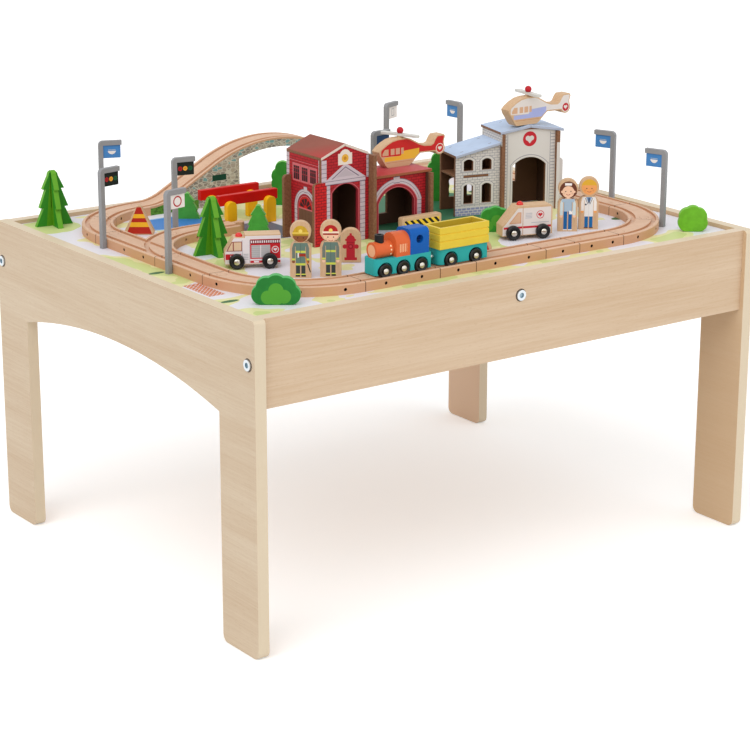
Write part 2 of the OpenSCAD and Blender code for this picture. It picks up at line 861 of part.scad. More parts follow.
// Switch from the origin along X, with its branch to the right
module switch_track() {
    color("bisque") translate([left_x, branch_y, board_z]) rotate(90) difference() {
        union() {
            straight_body(switch_l);
            rotate(180) peg();
            mirror([0, 1, 0]) {
                curve_body(branch_r, branch_turn);
                curve_end(branch_r, branch_turn) peg();
            }
        }
        straight_grooves(switch_l);
        mirror([0, 1, 0]) curve_grooves(branch_r, branch_turn);
        translate([switch_l, 0, 0]) rotate(180) socket();
        for (share = long_hole_shares) translate([switch_l * share, track_w / 2, 0]) mirror([0, 1, 0]) side_hole();
    }
}

// Grooves along the bridge between two distances from its middle
module hump_grooves(from, to) {
    bed = surface_points(from, to, -groove_d);
    top = surface_points(to, from, over);
    for (side = [-1, 1]) translate([0, side * gauge / 2 + groove_w / 2, 0])
        rotate([90, 0, 0]) linear_extrude(groove_w) polygon(concat(bed, top));
}

// Solid ramp from the loop up to the crown, on the right of the bridge's middle
module ramp() {
    outline = concat(surface_points(crown_half, bridge_half, 0),
        [[bridge_half, 0], [arch_half_span, 0], [arch_half_span, pier_h], [crown_half, pier_h]]);
    difference() {
        translate([0, track_w / 2, 0]) rotate([90, 0, 0]) linear_extrude(track_w) polygon(outline);
        hump_grooves(crown_half - over, bridge_half);
        translate([bridge_half - over, 0, 0]) straight_grooves(over);
    }
}

module ramp_tracks() {
    color("bisque") translate([loop_shift_x, back_y, board_z]) {
        difference() {
            ramp();
            translate([bridge_half, 0, 0]) rotate(180) socket(2 * track_h);
        }
        mirror([1, 0, 0]) {
            ramp();
            translate([bridge_half, 0, 0]) peg();
        }
    }
}

module crown_track() {
    underside = [for (i = [0 : profile_steps])
        let (x = arch_half_span * (1 - 2 * i / profile_steps)) [x, soffit(abs(x))]];
    outline = concat(surface_points(-crown_half, crown_half, 0), [[crown_half, pier_h]], underside,
        [[-crown_half, pier_h]]);
    color("bisque") translate([loop_shift_x, back_y, board_z]) difference() {
        translate([0, track_w / 2, 0]) rotate([90, 0, 0]) linear_extrude(track_w) polygon(outline);
        hump_grooves(-crown_half - over, crown_half + over);
    }
}

// Guard rails

module guard_rails() {
    for (row = [0, 1]) translate(place(guard_rail_share) + [0, row * rail_pair_gap, 0]) children();
}

module guard_rail_posts() {
    spread = beam_l / 2 - rail_post_w;
    color("gold") guard_rails() for (side = [-1, 1]) translate([side * spread, 0, 0])
        upright(rail_board_t) round_top(rail_post_w, rail_post_h, rail_post_w / 2 - loose);
}

module guard_rail_beams() {
    color("red") guard_rails() translate([-beam_l / 2, rail_board_t, beam_z]) cube([beam_l, rail_board_t, beam_h]);
}

// Train

// Two wheels on one axle along Y, at the origin
module wheelset(wheel_d, wheel_w, inner_y, hub) {
    recess = wheel_w * hub_recess_share;
    outer_y = inner_y + wheel_w;
    rotate([90, 0, 0]) rotate_extrude() polygon([[0, -outer_y], [hub / 2 - recess, -outer_y],
        [hub / 2, recess - outer_y], [wheel_d / 2 - recess, -outer_y], [wheel_d / 2, recess - outer_y],
        [wheel_d / 2, -inner_y], [axle_d / 2, -inner_y],
        [axle_d / 2, inner_y], [wheel_d / 2, inner_y],
        [wheel_d / 2, outer_y - recess], [wheel_d / 2 - recess, outer_y], [hub / 2, outer_y - recess],
        [hub / 2 - recess, outer_y], [0, outer_y]]);
}

// Plan of a chassis along X from the origin, with its front corners rounded
module chassis_plan(l) {
    side_y = chassis_w / 2 - chassis_corner_r;
    translate([chassis_corner_r, -chassis_w / 2]) square([l - chassis_corner_r, chassis_w]);
    translate([0, -side_y]) square([l, 2 * side_y]);
    for (side = [-1, 1]) translate([chassis_corner_r, side * side_y]) circle(chassis_corner_r);
}

// Chassis along X from the origin, with a pocket and an axle bore for each wheelset
module chassis(l, axles) {
    difference() {
        translate([0, 0, chassis_z]) linear_extrude(chassis_h) chassis_plan(l);
        for (x = axles) translate([x, 0, train_axle_z]) rotate([90, 0, 0]) {
            cylinder(d = axle_d + 2 * running, h = chassis_w + 2 * over, center = true);
            for (side = [-1, 1]) translate([0, 0, side * (wheel_pocket + chassis_w / 2)])
                cylinder(r = pocket_r, h = chassis_w, center = true);
        }
    }
}

module loco_chassis() {
    axles = [for (i = [0 : 2]) loco_nose + i * loco_axle_gap];
    color("darkcyan") translate([loco_front_x, front_y, 0]) chassis(loco_l, axles);
}

module loco_boiler() {
    rear_r = boiler_rear_w / 2;
    color("coral") translate([boiler_x, front_y, 0]) difference() {
        union() {
            intersection() {
                translate([0, 0, boiler_z]) rotate([0, 90, 0]) cylinder(d = boiler_d, h = boiler_front_l + over);
                translate([0, -boiler_d, chassis_top]) cube([2 * boiler_front_l, 2 * boiler_d, 2 * boiler_d]);
            }
            translate([boiler_front_l, 0, chassis_top]) along_x() linear_extrude(boiler_rear_l)
                round_top(boiler_rear_w, boiler_rear_w, rear_r - loose);
        }
        translate([chimney_x - boiler_x, 0, boiler_z + boiler_d / 2 - chimney_pin_l])
            cylinder(d = chimney_pin_d + 2 * running, h = boiler_d);
    }
}

module loco_cab() {
    color("royalblue") translate([cab_x, front_y, chassis_top]) difference() {
        along_x() linear_extrude(cab_l) round_top(chassis_w, cab_h, chassis_w / 4);
        translate([cab_l / 2, 0, cab_h * cab_window_share]) rotate([90, 0, 0])
            cylinder(d = cab_window_d, h = chassis_w + 2 * over, center = true);
    }
}

module loco_chimney() {
    color("black") translate([chimney_x, front_y, boiler_z]) {
        difference() {
            cylinder(d = chimney_d, h = chimney_h);
            rotate([0, 90, 0]) cylinder(d = boiler_d + 2 * running, h = 2 * chimney_d, center = true);
            translate([0, 0, chimney_h - chimney_pin_l / 2]) cylinder(d = chimney_pin_d, h = chimney_pin_l);
        }
        translate([0, 0, boiler_d / 2 - chimney_pin_l + loose]) cylinder(d = chimney_pin_d, h = 2 * chimney_pin_l - loose);
    }
}

// Magnet from the origin along X
module magnet() {
    rotate([0, 90, 0]) cylinder(d = magnet_d, h = magnet_l);
}

module loco_magnet() {
    color("silver") translate([loco_front_x + loco_l, front_y, magnet_z]) magnet();
}

module loco_wheelset(i) {
    color("dimgray") translate([loco_axle_x + i * loco_axle_gap, front_y, train_axle_z])
        wheelset(train_wheel_d, train_wheel_w, wheel_inner_y, hub_d);
}

module loco_wheelset_front() loco_wheelset(0);
module loco_wheelset_middle() loco_wheelset(1);
module loco_wheelset_rear() loco_wheelset(2);

module wagon_chassis() {
    set = wagon_axle_x - wagon_front_x;
    color("darkcyan") translate([wagon_front_x, front_y, 0]) chassis(wagon_l, [set, set + wagon_axle_gap]);
}

// Open box with two plank lines cut round its sides
module wagon_box() {
    color("gold") translate([wagon_front_x + (wagon_l - box_l) / 2, front_y, chassis_top]) difference() {
        translate([0, -box_w / 2, 0]) cube([box_l, box_w, box_h]);
        translate([box_wall, box_wall - box_w / 2, box_floor])
            cube([box_l - 2 * box_wall, box_w - 2 * box_wall, box_h]);
        for (share = plank_shares) translate([0, 0, box_h * share]) difference() {
            translate([-over, -box_w / 2 - over, 0]) cube([box_l + 2 * over, box_w + 2 * over, plank_cut]);
            translate([plank_cut, plank_cut - box_w / 2, -over])
                cube([box_l - 2 * plank_cut, box_w - 2 * plank_cut, plank_cut + 2 * over]);
        }
    }
}

module wagon_magnets() {
    color("silver") for (x = [wagon_front_x - magnet_l, wagon_front_x + wagon_l])
        translate([x, front_y, magnet_z]) magnet();
}

module wagon_wheelset(i) {
    color("dimgray") translate([wagon_axle_x + i * wagon_axle_gap, front_y, train_axle_z])
        wheelset(train_wheel_d, train_wheel_w, wheel_inner_y, hub_d);
}

module wagon_wheelset_front() wagon_wheelset(0);
module wagon_wheelset_rear() wagon_wheelset(1);

// Road vehicles, with the front at -X and the middle at the origin

module road_vehicle(share, turn) {
    translate(place(share) - [0, 0, board_z]) rotate(turn) children();
}

module axle_bores(axle_gap) {
    for (side = [-1, 1]) translate([side * axle_gap / 2, 0, road_axle_z]) rotate([90, 0, 0])
        cylinder(d = axle_d + 2 * running, h = road_body_w + 2 * over, center = true);
}

module beacon_seat(x, top) {
    translate([x, 0, road_z + top]) children();
}

module road_wheelset(x) {
    translate([x, 0, road_axle_z])
        wheelset(road_wheel_d, road_wheel_w, road_body_w / 2 + run_gap, road_wheel_d * hub_d_share);
}

module fire_truck_body() {
    h = truck_h - road_clearance;
    cab_h = h - truck_step;
    half = truck_l / 2;
    color("firebrick") road_vehicle(truck_share, truck_turn) difference() {
        translate([0, 0, road_z]) upright_centred(road_body_w) polygon([[-half, 0], [half, 0], [half, h],
            [truck_l * truck_cab_share - half, h], [truck_l * truck_cab_share - half, cab_h],
            [truck_l * truck_slope_share - half, cab_h], [-half, h * truck_bonnet_share]]);
        axle_bores(truck_axle_gap);
    }
}

// Warning light with a flat foot
module beacon() {
    rotate_extrude() intersection() {
        circle(d = beacon_d);
        square(beacon_d);
    }
}

module fire_truck_beacon() {
    color("red") road_vehicle(truck_share, truck_turn)
        beacon_seat(truck_l * (truck_beacon_share - middle_shares[0]), truck_h - road_clearance - truck_step) beacon();
}

module fire_truck_wheelset_front() {
    color("dimgray") road_vehicle(truck_share, truck_turn) road_wheelset(-truck_axle_gap / 2);
}

module fire_truck_wheelset_rear() {
    color("dimgray") road_vehicle(truck_share, truck_turn) road_wheelset(truck_axle_gap / 2);
}

module ambulance_body() {
    h = ambulance_h - road_clearance;
    half = ambulance_l / 2;
    color("white") road_vehicle(ambulance_share, ambulance_turn) difference() {
        translate([0, 0, road_z]) upright_centred(road_body_w) polygon([[-half, 0], [half, 0],
            [half, h - body_corner_r], [half - body_corner_r, h],
            [ambulance_l * ambulance_slope_share - half, h], [-half, h * ambulance_bonnet_share]]);
        axle_bores(ambulance_axle_gap);
    }
}

module ambulance_beacon() {
    color("red") road_vehicle(ambulance_share, ambulance_turn)
        beacon_seat(ambulance_l * (ambulance_beacon_share - middle_shares[0]), ambulance_h - road_clearance) beacon();
}

module ambulance_wheelset_front() {
    color("dimgray") road_vehicle(ambulance_share, ambulance_turn) road_wheelset(-ambulance_axle_gap / 2);
}

module ambulance_wheelset_rear() {
    color("dimgray") road_vehicle(ambulance_share, ambulance_turn) road_wheelset(ambulance_axle_gap / 2);
}

// Helicopters, with the nose at the origin and the tail along X

module red_heli_place() {
    translate(place(station_share) + [red_heli_x, red_heli_y, garage_h + roof_t]) children();
}

module white_heli_place() {
    hospital_place() translate([wing_w + ward_total * white_heli_x_share, ward_d * white_heli_ridge_share,
        ward_eave + ward_rise + roof_t])
        rotate(hospital_turn) translate([-heli_l * mast_share, 0, 0]) children();
}

module helicopter_outline() {
    polygon([for (share = heli_shares) [heli_l * share[0], heli_h * share[1]]]);
    translate([heli_l * tail_share[0], heli_h * tail_share[1]]) circle(d = heli_h * tail_d_share);
}

module helicopter_body() {
    difference() {
        union() {
            upright_centred(heli_t) helicopter_outline();
            translate([heli_l * mast_share, 0, heli_h - mast_h]) cylinder(d = mast_d, h = 2 * mast_h);
        }
        translate([heli_l * mast_share, 0, heli_h + mast_h - pin_depth])
            cylinder(d = rotor_pin_d + 2 * running, h = pin_depth + over);
    }
}

module red_helicopter_body() {
    color("firebrick") red_heli_place() helicopter_body();
}

module white_helicopter_body() {
    color("white") white_heli_place() helicopter_body();
}

// Two-bladed rotor with round ends, centred on its pin
module rotor(turn) {
    translate([heli_l * mast_share, 0, rotor_z]) rotate(turn) difference() {
        linear_extrude(rotor_t) {
            square([rotor_l - rotor_w, rotor_w], center = true);
            for (side = [-1, 1]) translate([side * (rotor_l - rotor_w) / 2, 0]) circle(d = rotor_w);
        }
        translate([0, 0, -over]) cylinder(d = rotor_pin_d + 2 * running, h = rotor_t + 2 * over);
    }
}

module red_helicopter_rotor() {
    color("lightgray") red_heli_place() rotor(red_rotor_turn);
}

module white_helicopter_rotor() {
    color("lightgray") white_heli_place() rotor(white_rotor_turn);
}

// Rotor pin with a ball on top, flat where it holds the rotor
module rotor_cap() {
    ball_z = cap_z + cap_d / 2 - cap_d / 8;
    translate([heli_l * mast_share, 0, 0]) {
        translate([0, 0, heli_h + mast_h - pin_depth + loose])
            cylinder(d = rotor_pin_d, h = cap_z - heli_h - mast_h + pin_depth);
        translate([0, 0, ball_z]) intersection() {
            sphere(d = cap_d);
            translate([-cap_d, -cap_d, cap_z - ball_z]) cube(2 * cap_d);
        }
    }
}

module rotor_caps() {
    color("firebrick") {
        red_heli_place() rotor_cap();
        white_heli_place() rotor_cap();
    }
}

// Fire station, with the tower's front left corner at the origin

module gable(w, eave, rise) {
    polygon([[0, 0], [w, 0], [w, eave], [w / 2, eave + rise], [0, eave]]);
}

// End of a crossing panel, from the wall to the left, with its upper corner rounded
module fin_end(w, h) {
    translate([-w, 0]) square([w, h - fin_r]);
    translate([fin_r - w, 0]) square([w - fin_r, h]);
    translate([fin_r - w, h - fin_r]) circle(fin_r);
}

module station_place() {
    translate(place(station_share)) children();
}

module station_front_panels() {
    color("brown") station_place() {
        upright(wall_t) difference() {
            union() {
                gable(tower_w, tower_eave, tower_rise);
                fin_end(fin, fin_h);
            }
            translate([tower_w / 2, 0]) arched(tower_door_w, tower_door_h, tower_door_w * door_rise_share);
        }
        translate([garage_x, garage_back, 0]) upright(wall_t) difference() {
            square([garage_w, garage_h]);
            translate([garage_w / 2, 0]) arched(gate_w, gate_h, gate_w * gate_rise_share);
        }
    }
}

module station_side_walls() {
    color("sienna") station_place() {
        difference() {
            translate([0, wall_t, 0]) cube([wall_t, tower_d + tower_tail - wall_t, tower_eave]);
            translate([-over, tower_d - wall_t - joint_gap, -over])
                cube([wall_t + 2 * over, wall_t + 2 * joint_gap, fin_h + joint_gap + over]);
        }
        translate([mid_wall_x, -fin, 0]) cube([wall_t, tower_d + fin, tower_eave]);
        translate([garage_right_x, garage_back - fin, 0]) cube([wall_t, station_d + fin - garage_back, garage_h]);
    }
}

module station_back_panels() {
    color("sienna") station_place() {
        translate([0, tower_d - wall_t, 0]) upright(wall_t) {
            difference() {
                gable(tower_w, tower_eave, tower_rise);
                translate([-over, fin_h]) square([wall_t + joint_gap + over, tower_eave]);
            }
            fin_end(fin, fin_h);
        }
        translate([garage_x, station_d - wall_t, 0]) upright(wall_t) difference() {
            square([garage_w, garage_h]);
            translate([garage_w / 2, garage_h * back_window_share])
                square([garage_w * back_window_share, garage_h * back_window_share], center = true);
        }
    }
}

// Roof plate that falls from the ridge to a lower edge, as an outline
module roof_plate(x, drop) {
    polygon([[x, -drop], [0, 0], [0, roof_t], [x, roof_t - drop]]);
}

// Two roof plates that meet on the ridge, from a front edge over a depth
module ridge_roof(x0, x1, ridge_x, ridge_z, slope, y0, depth) {
    for (x = [x0, x1]) {
        side = sign(x - ridge_x);
        reach = x - ridge_x - side * joint_gap / 2;
        translate([ridge_x + side * joint_gap / 2, y0, ridge_z]) upright(depth)
            roof_plate(reach, abs(reach) * slope);
    }
}

module station_tower_roof() {
    color("indianred") station_place() ridge_roof(0, tower_w, tower_w / 2, tower_eave + tower_rise,
        tower_slope, 0, tower_d + tower_tail);
}

module station_garage_roof() {
    color("salmon") station_place() translate([garage_x, garage_back - eave_reach, garage_h])
        cube([garage_w + wall_t + eave_reach, station_d - garage_back + 2 * eave_reach, roof_t]);
}

// Hospital, with the wing's front left corner at the origin

module hospital_place() {
    translate(place(hospital_share)) rotate(-hospital_turn) children();
}

module wing_outline() {
    polygon([[0, 0], [wing_w, 0], [wing_w, wing_high_h], [0, wing_low_h]]);
}

// Outline of the tower's panel between its side walls, under the ridge roof
module ward_outline() {
    side_h = ward_eave + wall_t * ward_slope;
    polygon([[0, 0], [ward_w, 0], [ward_w, side_h], [ward_w / 2, ward_eave + ward_rise], [0, side_h]]);
}

module hospital_front_panels() {
    color("gainsboro") hospital_place() {
        upright(wall_t) difference() {
            wing_outline();
            for (share = window_x_shares) translate([wing_w * share + window_w / 2, 0]) {
                translate([0, window_low_z + over]) arched(window_w, window_low_h, window_w * window_rise_share);
                translate([0, window_high_z + over]) arched(window_w, window_high_h, window_w * window_rise_share);
            }
            translate([wing_w * slot_x_share, slot_z]) square([wing_w * slot_l_share, slot_h]);
        }
        translate([ward_x, 0, 0]) upright(wall_t) difference() {
            union() {
                ward_outline();
                translate([ward_w, 0]) square([wall_t, ward_end_h]);
                translate([ward_w + wall_t, 0]) mirror([1, 0]) fin_end(ward_end_w, ward_end_h);
            }
            translate([ward_w / 2, 0]) arched(ward_door_w, ward_door_h, ward_door_w * window_rise_share);
        }
    }
}

// Floor of the wing's upper storey, with a tab in the slot of the wing's front
module wing_floor() {
    t = slot_h - 2 * joint_gap;
    translate([joint_gap, wall_t + joint_gap, slot_z + joint_gap])
        cube([wing_w - 2 * joint_gap, wing_d - 2 * wall_t - 2 * joint_gap, t]);
    translate([wing_w * slot_x_share + joint_gap, 0, slot_z + joint_gap])
        cube([wing_w * slot_l_share - 2 * joint_gap, 2 * wall_t, t]);
}

// Walls of the tower, and the floor in the wing, whose left end is open
module hospital_side_walls() {
    color("sienna") hospital_place() {
        wing_floor();
        translate([ward_left_x, -ward_fin, 0]) cube([wall_t, ward_d + ward_fin, ward_eave]);
        difference() {
            translate([ward_right_x, -ward_fin, 0]) cube([wall_t, ward_d + ward_fin, ward_eave]);
            translate([ward_right_x - over, -joint_gap, -over])
                cube([wall_t + 2 * over, wall_t + 2 * joint_gap, ward_end_h + joint_gap + over]);
        }
    }
}

module hospital_back_panels() {
    color("sienna") hospital_place() {
        translate([0, wing_d - wall_t, 0]) upright(wall_t) difference() {
            wing_outline();
            for (share = window_x_shares) translate([wing_w * share + window_w / 2, window_low_z + over])
                arched(window_w, window_low_h, window_w * window_rise_share);
        }
        translate([ward_x, ward_d - wall_t, 0]) upright(wall_t) difference() {
            ward_outline();
            translate([ward_w * ward_back_share, ward_back_z + over])
                arched(window_w, window_low_h, window_w * window_rise_share);
        }
    }
}

module hospital_tower_roof() {
    color("lightsteelblue") hospital_place() translate([ward_left_x, 0, 0])
        ridge_roof(-ward_left_reach, ward_total + ward_right_reach, ward_total / 2, ward_eave + ward_rise, ward_slope,
            -ward_reach, ward_d + ward_reach + eave_reach);
}

module hospital_wing_roof() {
    low_x = -ward_left_reach;
    low_z = wing_low_h - ward_left_reach * wing_slope;
    color("lightsteelblue") hospital_place() translate([0, -eave_reach, 0]) upright(wing_d + 2 * eave_reach)
        polygon([[low_x, low_z], [wing_w, wing_high_h], [wing_w, wing_high_h + roof_t], [low_x, low_z + roof_t]]);
}

// Signs on bent posts, pinned into the track's side holes

// Post with an arm along X at the top, its outer corner rounded
module sign_post() {
    corner_r = sign_bar;
    upright_centred(sign_bar) difference() {
        translate([-sign_bar / 2, 0]) {
            square([sign_bar, sign_h]);
            translate([0, sign_h - sign_bar]) square([sign_w + sign_bar + sign_bar / 4, sign_bar]);
        }
        translate([-sign_bar / 2, sign_h]) difference() {
            translate([-over, -corner_r]) square([corner_r + over, corner_r + over]);
            translate([corner_r, -corner_r]) circle(corner_r);
        }
    }
}

module sign_pin() {
    translate([0, 0, track_h / 2]) rotate([0, 90, 0]) cylinder(d = pin_d, h = pin_l);
}

module sign_posts() {
    color("darkgray") {
        for (sign = signs) translate([sign[0], sign[1], board_z]) {
            rotate(sign[3]) sign_post();
            rotate(sign[2]) sign_pin();
        }
        translate(place(free_sign_share)) rotate(free_sign_turn) sign_post();
    }
}

module sign_panel() {
    translate([sign_bar / 2 + sign_w / 2, 0, sign_h - sign_bar - sign_panel_h])
        upright_centred(sign_t) translate([-sign_w / 2, 0]) square([sign_w, sign_panel_h]);
}

module sign_panels() {
    color("steelblue") {
        for (sign = signs) translate([sign[0], sign[1], board_z]) rotate(sign[3]) sign_panel();
        translate(place(free_sign_share)) rotate(free_sign_turn) sign_panel();
    }
}

// Trees, bushes, figures and blocks

// Tiered outline of a tree with a round tip
module tiered_outline(w, h, foot_shares, top_shares) {
    tiers = len(foot_shares);
    tier_h = h / tiers;
    tip_r = w / 2 * top_shares[tiers - 1];
    for (i = [0 : tiers - 1]) {
        foot = w / 2 * foot_shares[i];
        top = w / 2 * top_shares[i];
        top_z = i < tiers - 1 ? (i + 1) * tier_h + over : h - tip_r;
        polygon([[-foot, i * tier_h], [foot, i * tier_h], [top, top_z], [-top, top_z]]);
    }
    translate([0, h - tip_r]) circle(tip_r);
}

module pine_outline() {
    tiered_outline(pine_w, pine_h, pine_foot_shares, pine_top_shares);
}

// Two boards slotted into each other crosswise
module pine_tree() {
    slot = pine_t + 2 * loose;
    difference() {
        upright_centred(pine_t) pine_outline();
        translate([-slot / 2, -slot, pine_h / 3]) cube([slot, 2 * slot, pine_h]);
    }
    rotate(90) difference() {
        upright_centred(pine_t) pine_outline();
        translate([-slot / 2, -slot, -over]) cube([slot, 2 * slot, pine_h / 3 + over + loose]);
    }
}

module pine_trees() {
    color("forestgreen") for (share = pine_shares) facing(share, pine_turn) pine_tree();
}

// Leafy tree with a wavy edge
module leafy_outline(h) {
    r = leafy_w / 3;
    for (i = [0 : 3]) for (side = [-1, 1])
        translate([side * (leafy_w / 2 - r), r + i * (h - 2 * r) / 4]) circle(r);
    translate([0, h - r]) circle(r);
    translate([-leafy_w / 4, 0]) square([leafy_w / 2, h - r]);
}

module flat_trees() {
    color("green") {
        for (i = [0, 1]) facing(fir_shares[i]) upright_centred(block_t)
            tiered_outline(fir_w * fir_w_shares[i], fir_h * fir_h_shares[i], fir_foot_shares, fir_top_shares);
        for (i = [0, 1]) facing(leafy_shares[i]) upright_centred(block_t) leafy_outline(leafy_h * leafy_h_shares[i]);
    }
}

// Bush of three clouds over a flat foot
module bush_outline(w, h) {
    r = h / 3;
    intersection() {
        union() {
            for (side = [-1, 1]) {
                translate([side * (w / 2 - r), r]) circle(r);
                translate([side * (w / 4 - r / 4), 2 * r - r / 4]) circle(r);
            }
            translate([0, h - r]) circle(r);
            translate([r - w / 2, 0]) square([w - 2 * r, h / 2]);
        }
        translate([-w / 2, 0]) square([w, h]);
    }
}

module bushes() {
    color("limegreen") for (i = [0 : 2]) facing(bush_shares[i])
        upright_centred(block_t) bush_outline(bush_w * bush_w_shares[i], bush_w * bush_h_shares[i]);
}

// Standing person with a round head
module figure_outline() {
    head_r = figure_w / 2;
    shoulder = figure_h * figure_neck_share;
    round_top(figure_w, shoulder, figure_w / 3);
    translate([0, figure_h - head_r]) circle(head_r);
}

module figures() {
    color("wheat") for (share = figure_shares) facing(share) upright_centred(block_t) figure_outline();
}

module cone_outline() {
    tip_r = cone_w / 10;
    hull() {
        for (side = [-1, 1]) translate([side * (cone_w / 2 - tip_r), tip_r]) circle(tip_r, $fn = 32);
        translate([-cone_w / 2 + tip_r, 0]) square([cone_w - 2 * tip_r, tip_r]);
        translate([0, cone_h - tip_r]) circle(tip_r, $fn = 32);
    }
}

module traffic_cones() {
    color("orangered") for (share = cone_shares) facing(share) upright_centred(block_t) cone_outline();
}

module street_blocks() {
    color("wheat") {
        for (i = [0, 1]) facing(barrier_shares[i], 0) upright_centred(block_t)
            round_top(barrier_l * barrier_size_shares[i], barrier_h, block_corner_r);
        facing(hydrant_share) upright_centred(block_t) round_top(hydrant_w, hydrant_h, hydrant_w / 2 - loose);
    }
}

end_panel_left();
end_panel_right();
front_apron();
back_apron();
play_board();
cross_rail();
board_cleats();
connecting_bolts();
barrel_nuts();
straight_tracks();
curved_tracks();
switch_track();
ramp_tracks();
crown_track();
guard_rail_posts();
guard_rail_beams();
loco_chassis();
loco_boiler();
loco_cab();
loco_chimney();
loco_magnet();
loco_wheelset_front();
loco_wheelset_middle();
loco_wheelset_rear();
wagon_chassis();
wagon_box();
wagon_magnets();
wagon_wheelset_front();
wagon_wheelset_rear();
fire_truck_body();
fire_truck_beacon();
fire_truck_wheelset_front();
fire_truck_wheelset_rear();
ambulance_body();
ambulance_beacon();
ambulance_wheelset_front();
ambulance_wheelset_rear();
red_helicopter_body();
red_helicopter_rotor();
white_helicopter_body();
white_helicopter_rotor();
rotor_caps();
station_front_panels();
station_side_walls();
station_back_panels();
station_tower_roof();
station_garage_roof();
hospital_front_panels();
hospital_side_walls();
hospital_back_panels();
hospital_tower_roof();
hospital_wing_roof();
sign_posts();
sign_panels();
pine_trees();
flat_trees();
bushes();
figures();
traffic_cones();
street_blocks();
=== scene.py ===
import bpy
import bmesh
import json
import math
from mathutils import Matrix

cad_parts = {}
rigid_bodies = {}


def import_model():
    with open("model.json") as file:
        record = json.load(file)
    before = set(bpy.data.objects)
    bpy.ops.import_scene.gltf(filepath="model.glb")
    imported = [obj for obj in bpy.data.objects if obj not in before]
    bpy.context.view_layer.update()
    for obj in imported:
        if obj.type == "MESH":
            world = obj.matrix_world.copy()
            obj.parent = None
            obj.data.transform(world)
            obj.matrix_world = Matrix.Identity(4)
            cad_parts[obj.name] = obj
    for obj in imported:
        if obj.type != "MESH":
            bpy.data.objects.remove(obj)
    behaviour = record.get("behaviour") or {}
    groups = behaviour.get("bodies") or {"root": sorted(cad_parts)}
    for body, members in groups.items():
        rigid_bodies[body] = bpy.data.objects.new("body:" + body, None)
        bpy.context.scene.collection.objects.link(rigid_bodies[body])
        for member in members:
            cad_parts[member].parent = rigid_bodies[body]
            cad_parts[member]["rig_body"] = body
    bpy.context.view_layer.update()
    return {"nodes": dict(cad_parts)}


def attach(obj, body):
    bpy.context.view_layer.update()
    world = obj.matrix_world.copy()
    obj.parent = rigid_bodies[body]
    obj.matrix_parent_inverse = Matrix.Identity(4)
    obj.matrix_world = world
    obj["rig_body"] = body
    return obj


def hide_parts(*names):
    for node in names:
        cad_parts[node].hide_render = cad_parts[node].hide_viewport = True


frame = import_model()
scene = bpy.context.scene
print("frame loaded:", len(frame["nodes"]), "nodes")


def rgb(code):  # a hex code as a linear colour
    parts = [c / 255 for c in bytes.fromhex(code[1:])]
    return (*[c / 12.92 if c < 0.0405 else ((c + 0.055) / 1.055) ** 2.4 for c in parts], 1.0)


def looks(**entries):  # what a piece's paint needs to know, with its hex codes made into colours
    return {key: rgb(value) if isinstance(value, str) else value for key, value in entries.items()}


def shade(colour, factor):
    return (*[min(1.0, c * factor) for c in colour[:3]], 1.0)


class Sock:  # a shader socket that takes part in Python sums and comparisons
    def __init__(self, paint, socket):
        self.paint = paint
        self.socket = socket

    def __invert__(self):
        return 1.0 - self


def mathMethod(operation, swapped=False):
    def method(self, other=0.0):
        a, b = (other, self) if swapped else (self, other)
        return self.paint.node("ShaderNodeMath", {"operation": operation}, {0: a, 1: b})
    return method


operations = {"add": "ADD", "sub": "SUBTRACT", "mul": "MULTIPLY", "mod": "FLOORED_MODULO", "pow": "POWER",
    "abs": "ABSOLUTE", "lt": "LESS_THAN", "gt": "GREATER_THAN", "and": "MULTIPLY", "or": "MAXIMUM"}
for name, operation in operations.items():
    setattr(Sock, "__%s__" % name, mathMethod(operation))
for name in ("add", "sub", "mul"):  # with the number on the left
    setattr(Sock, "__r%s__" % name, mathMethod(operations[name], True))


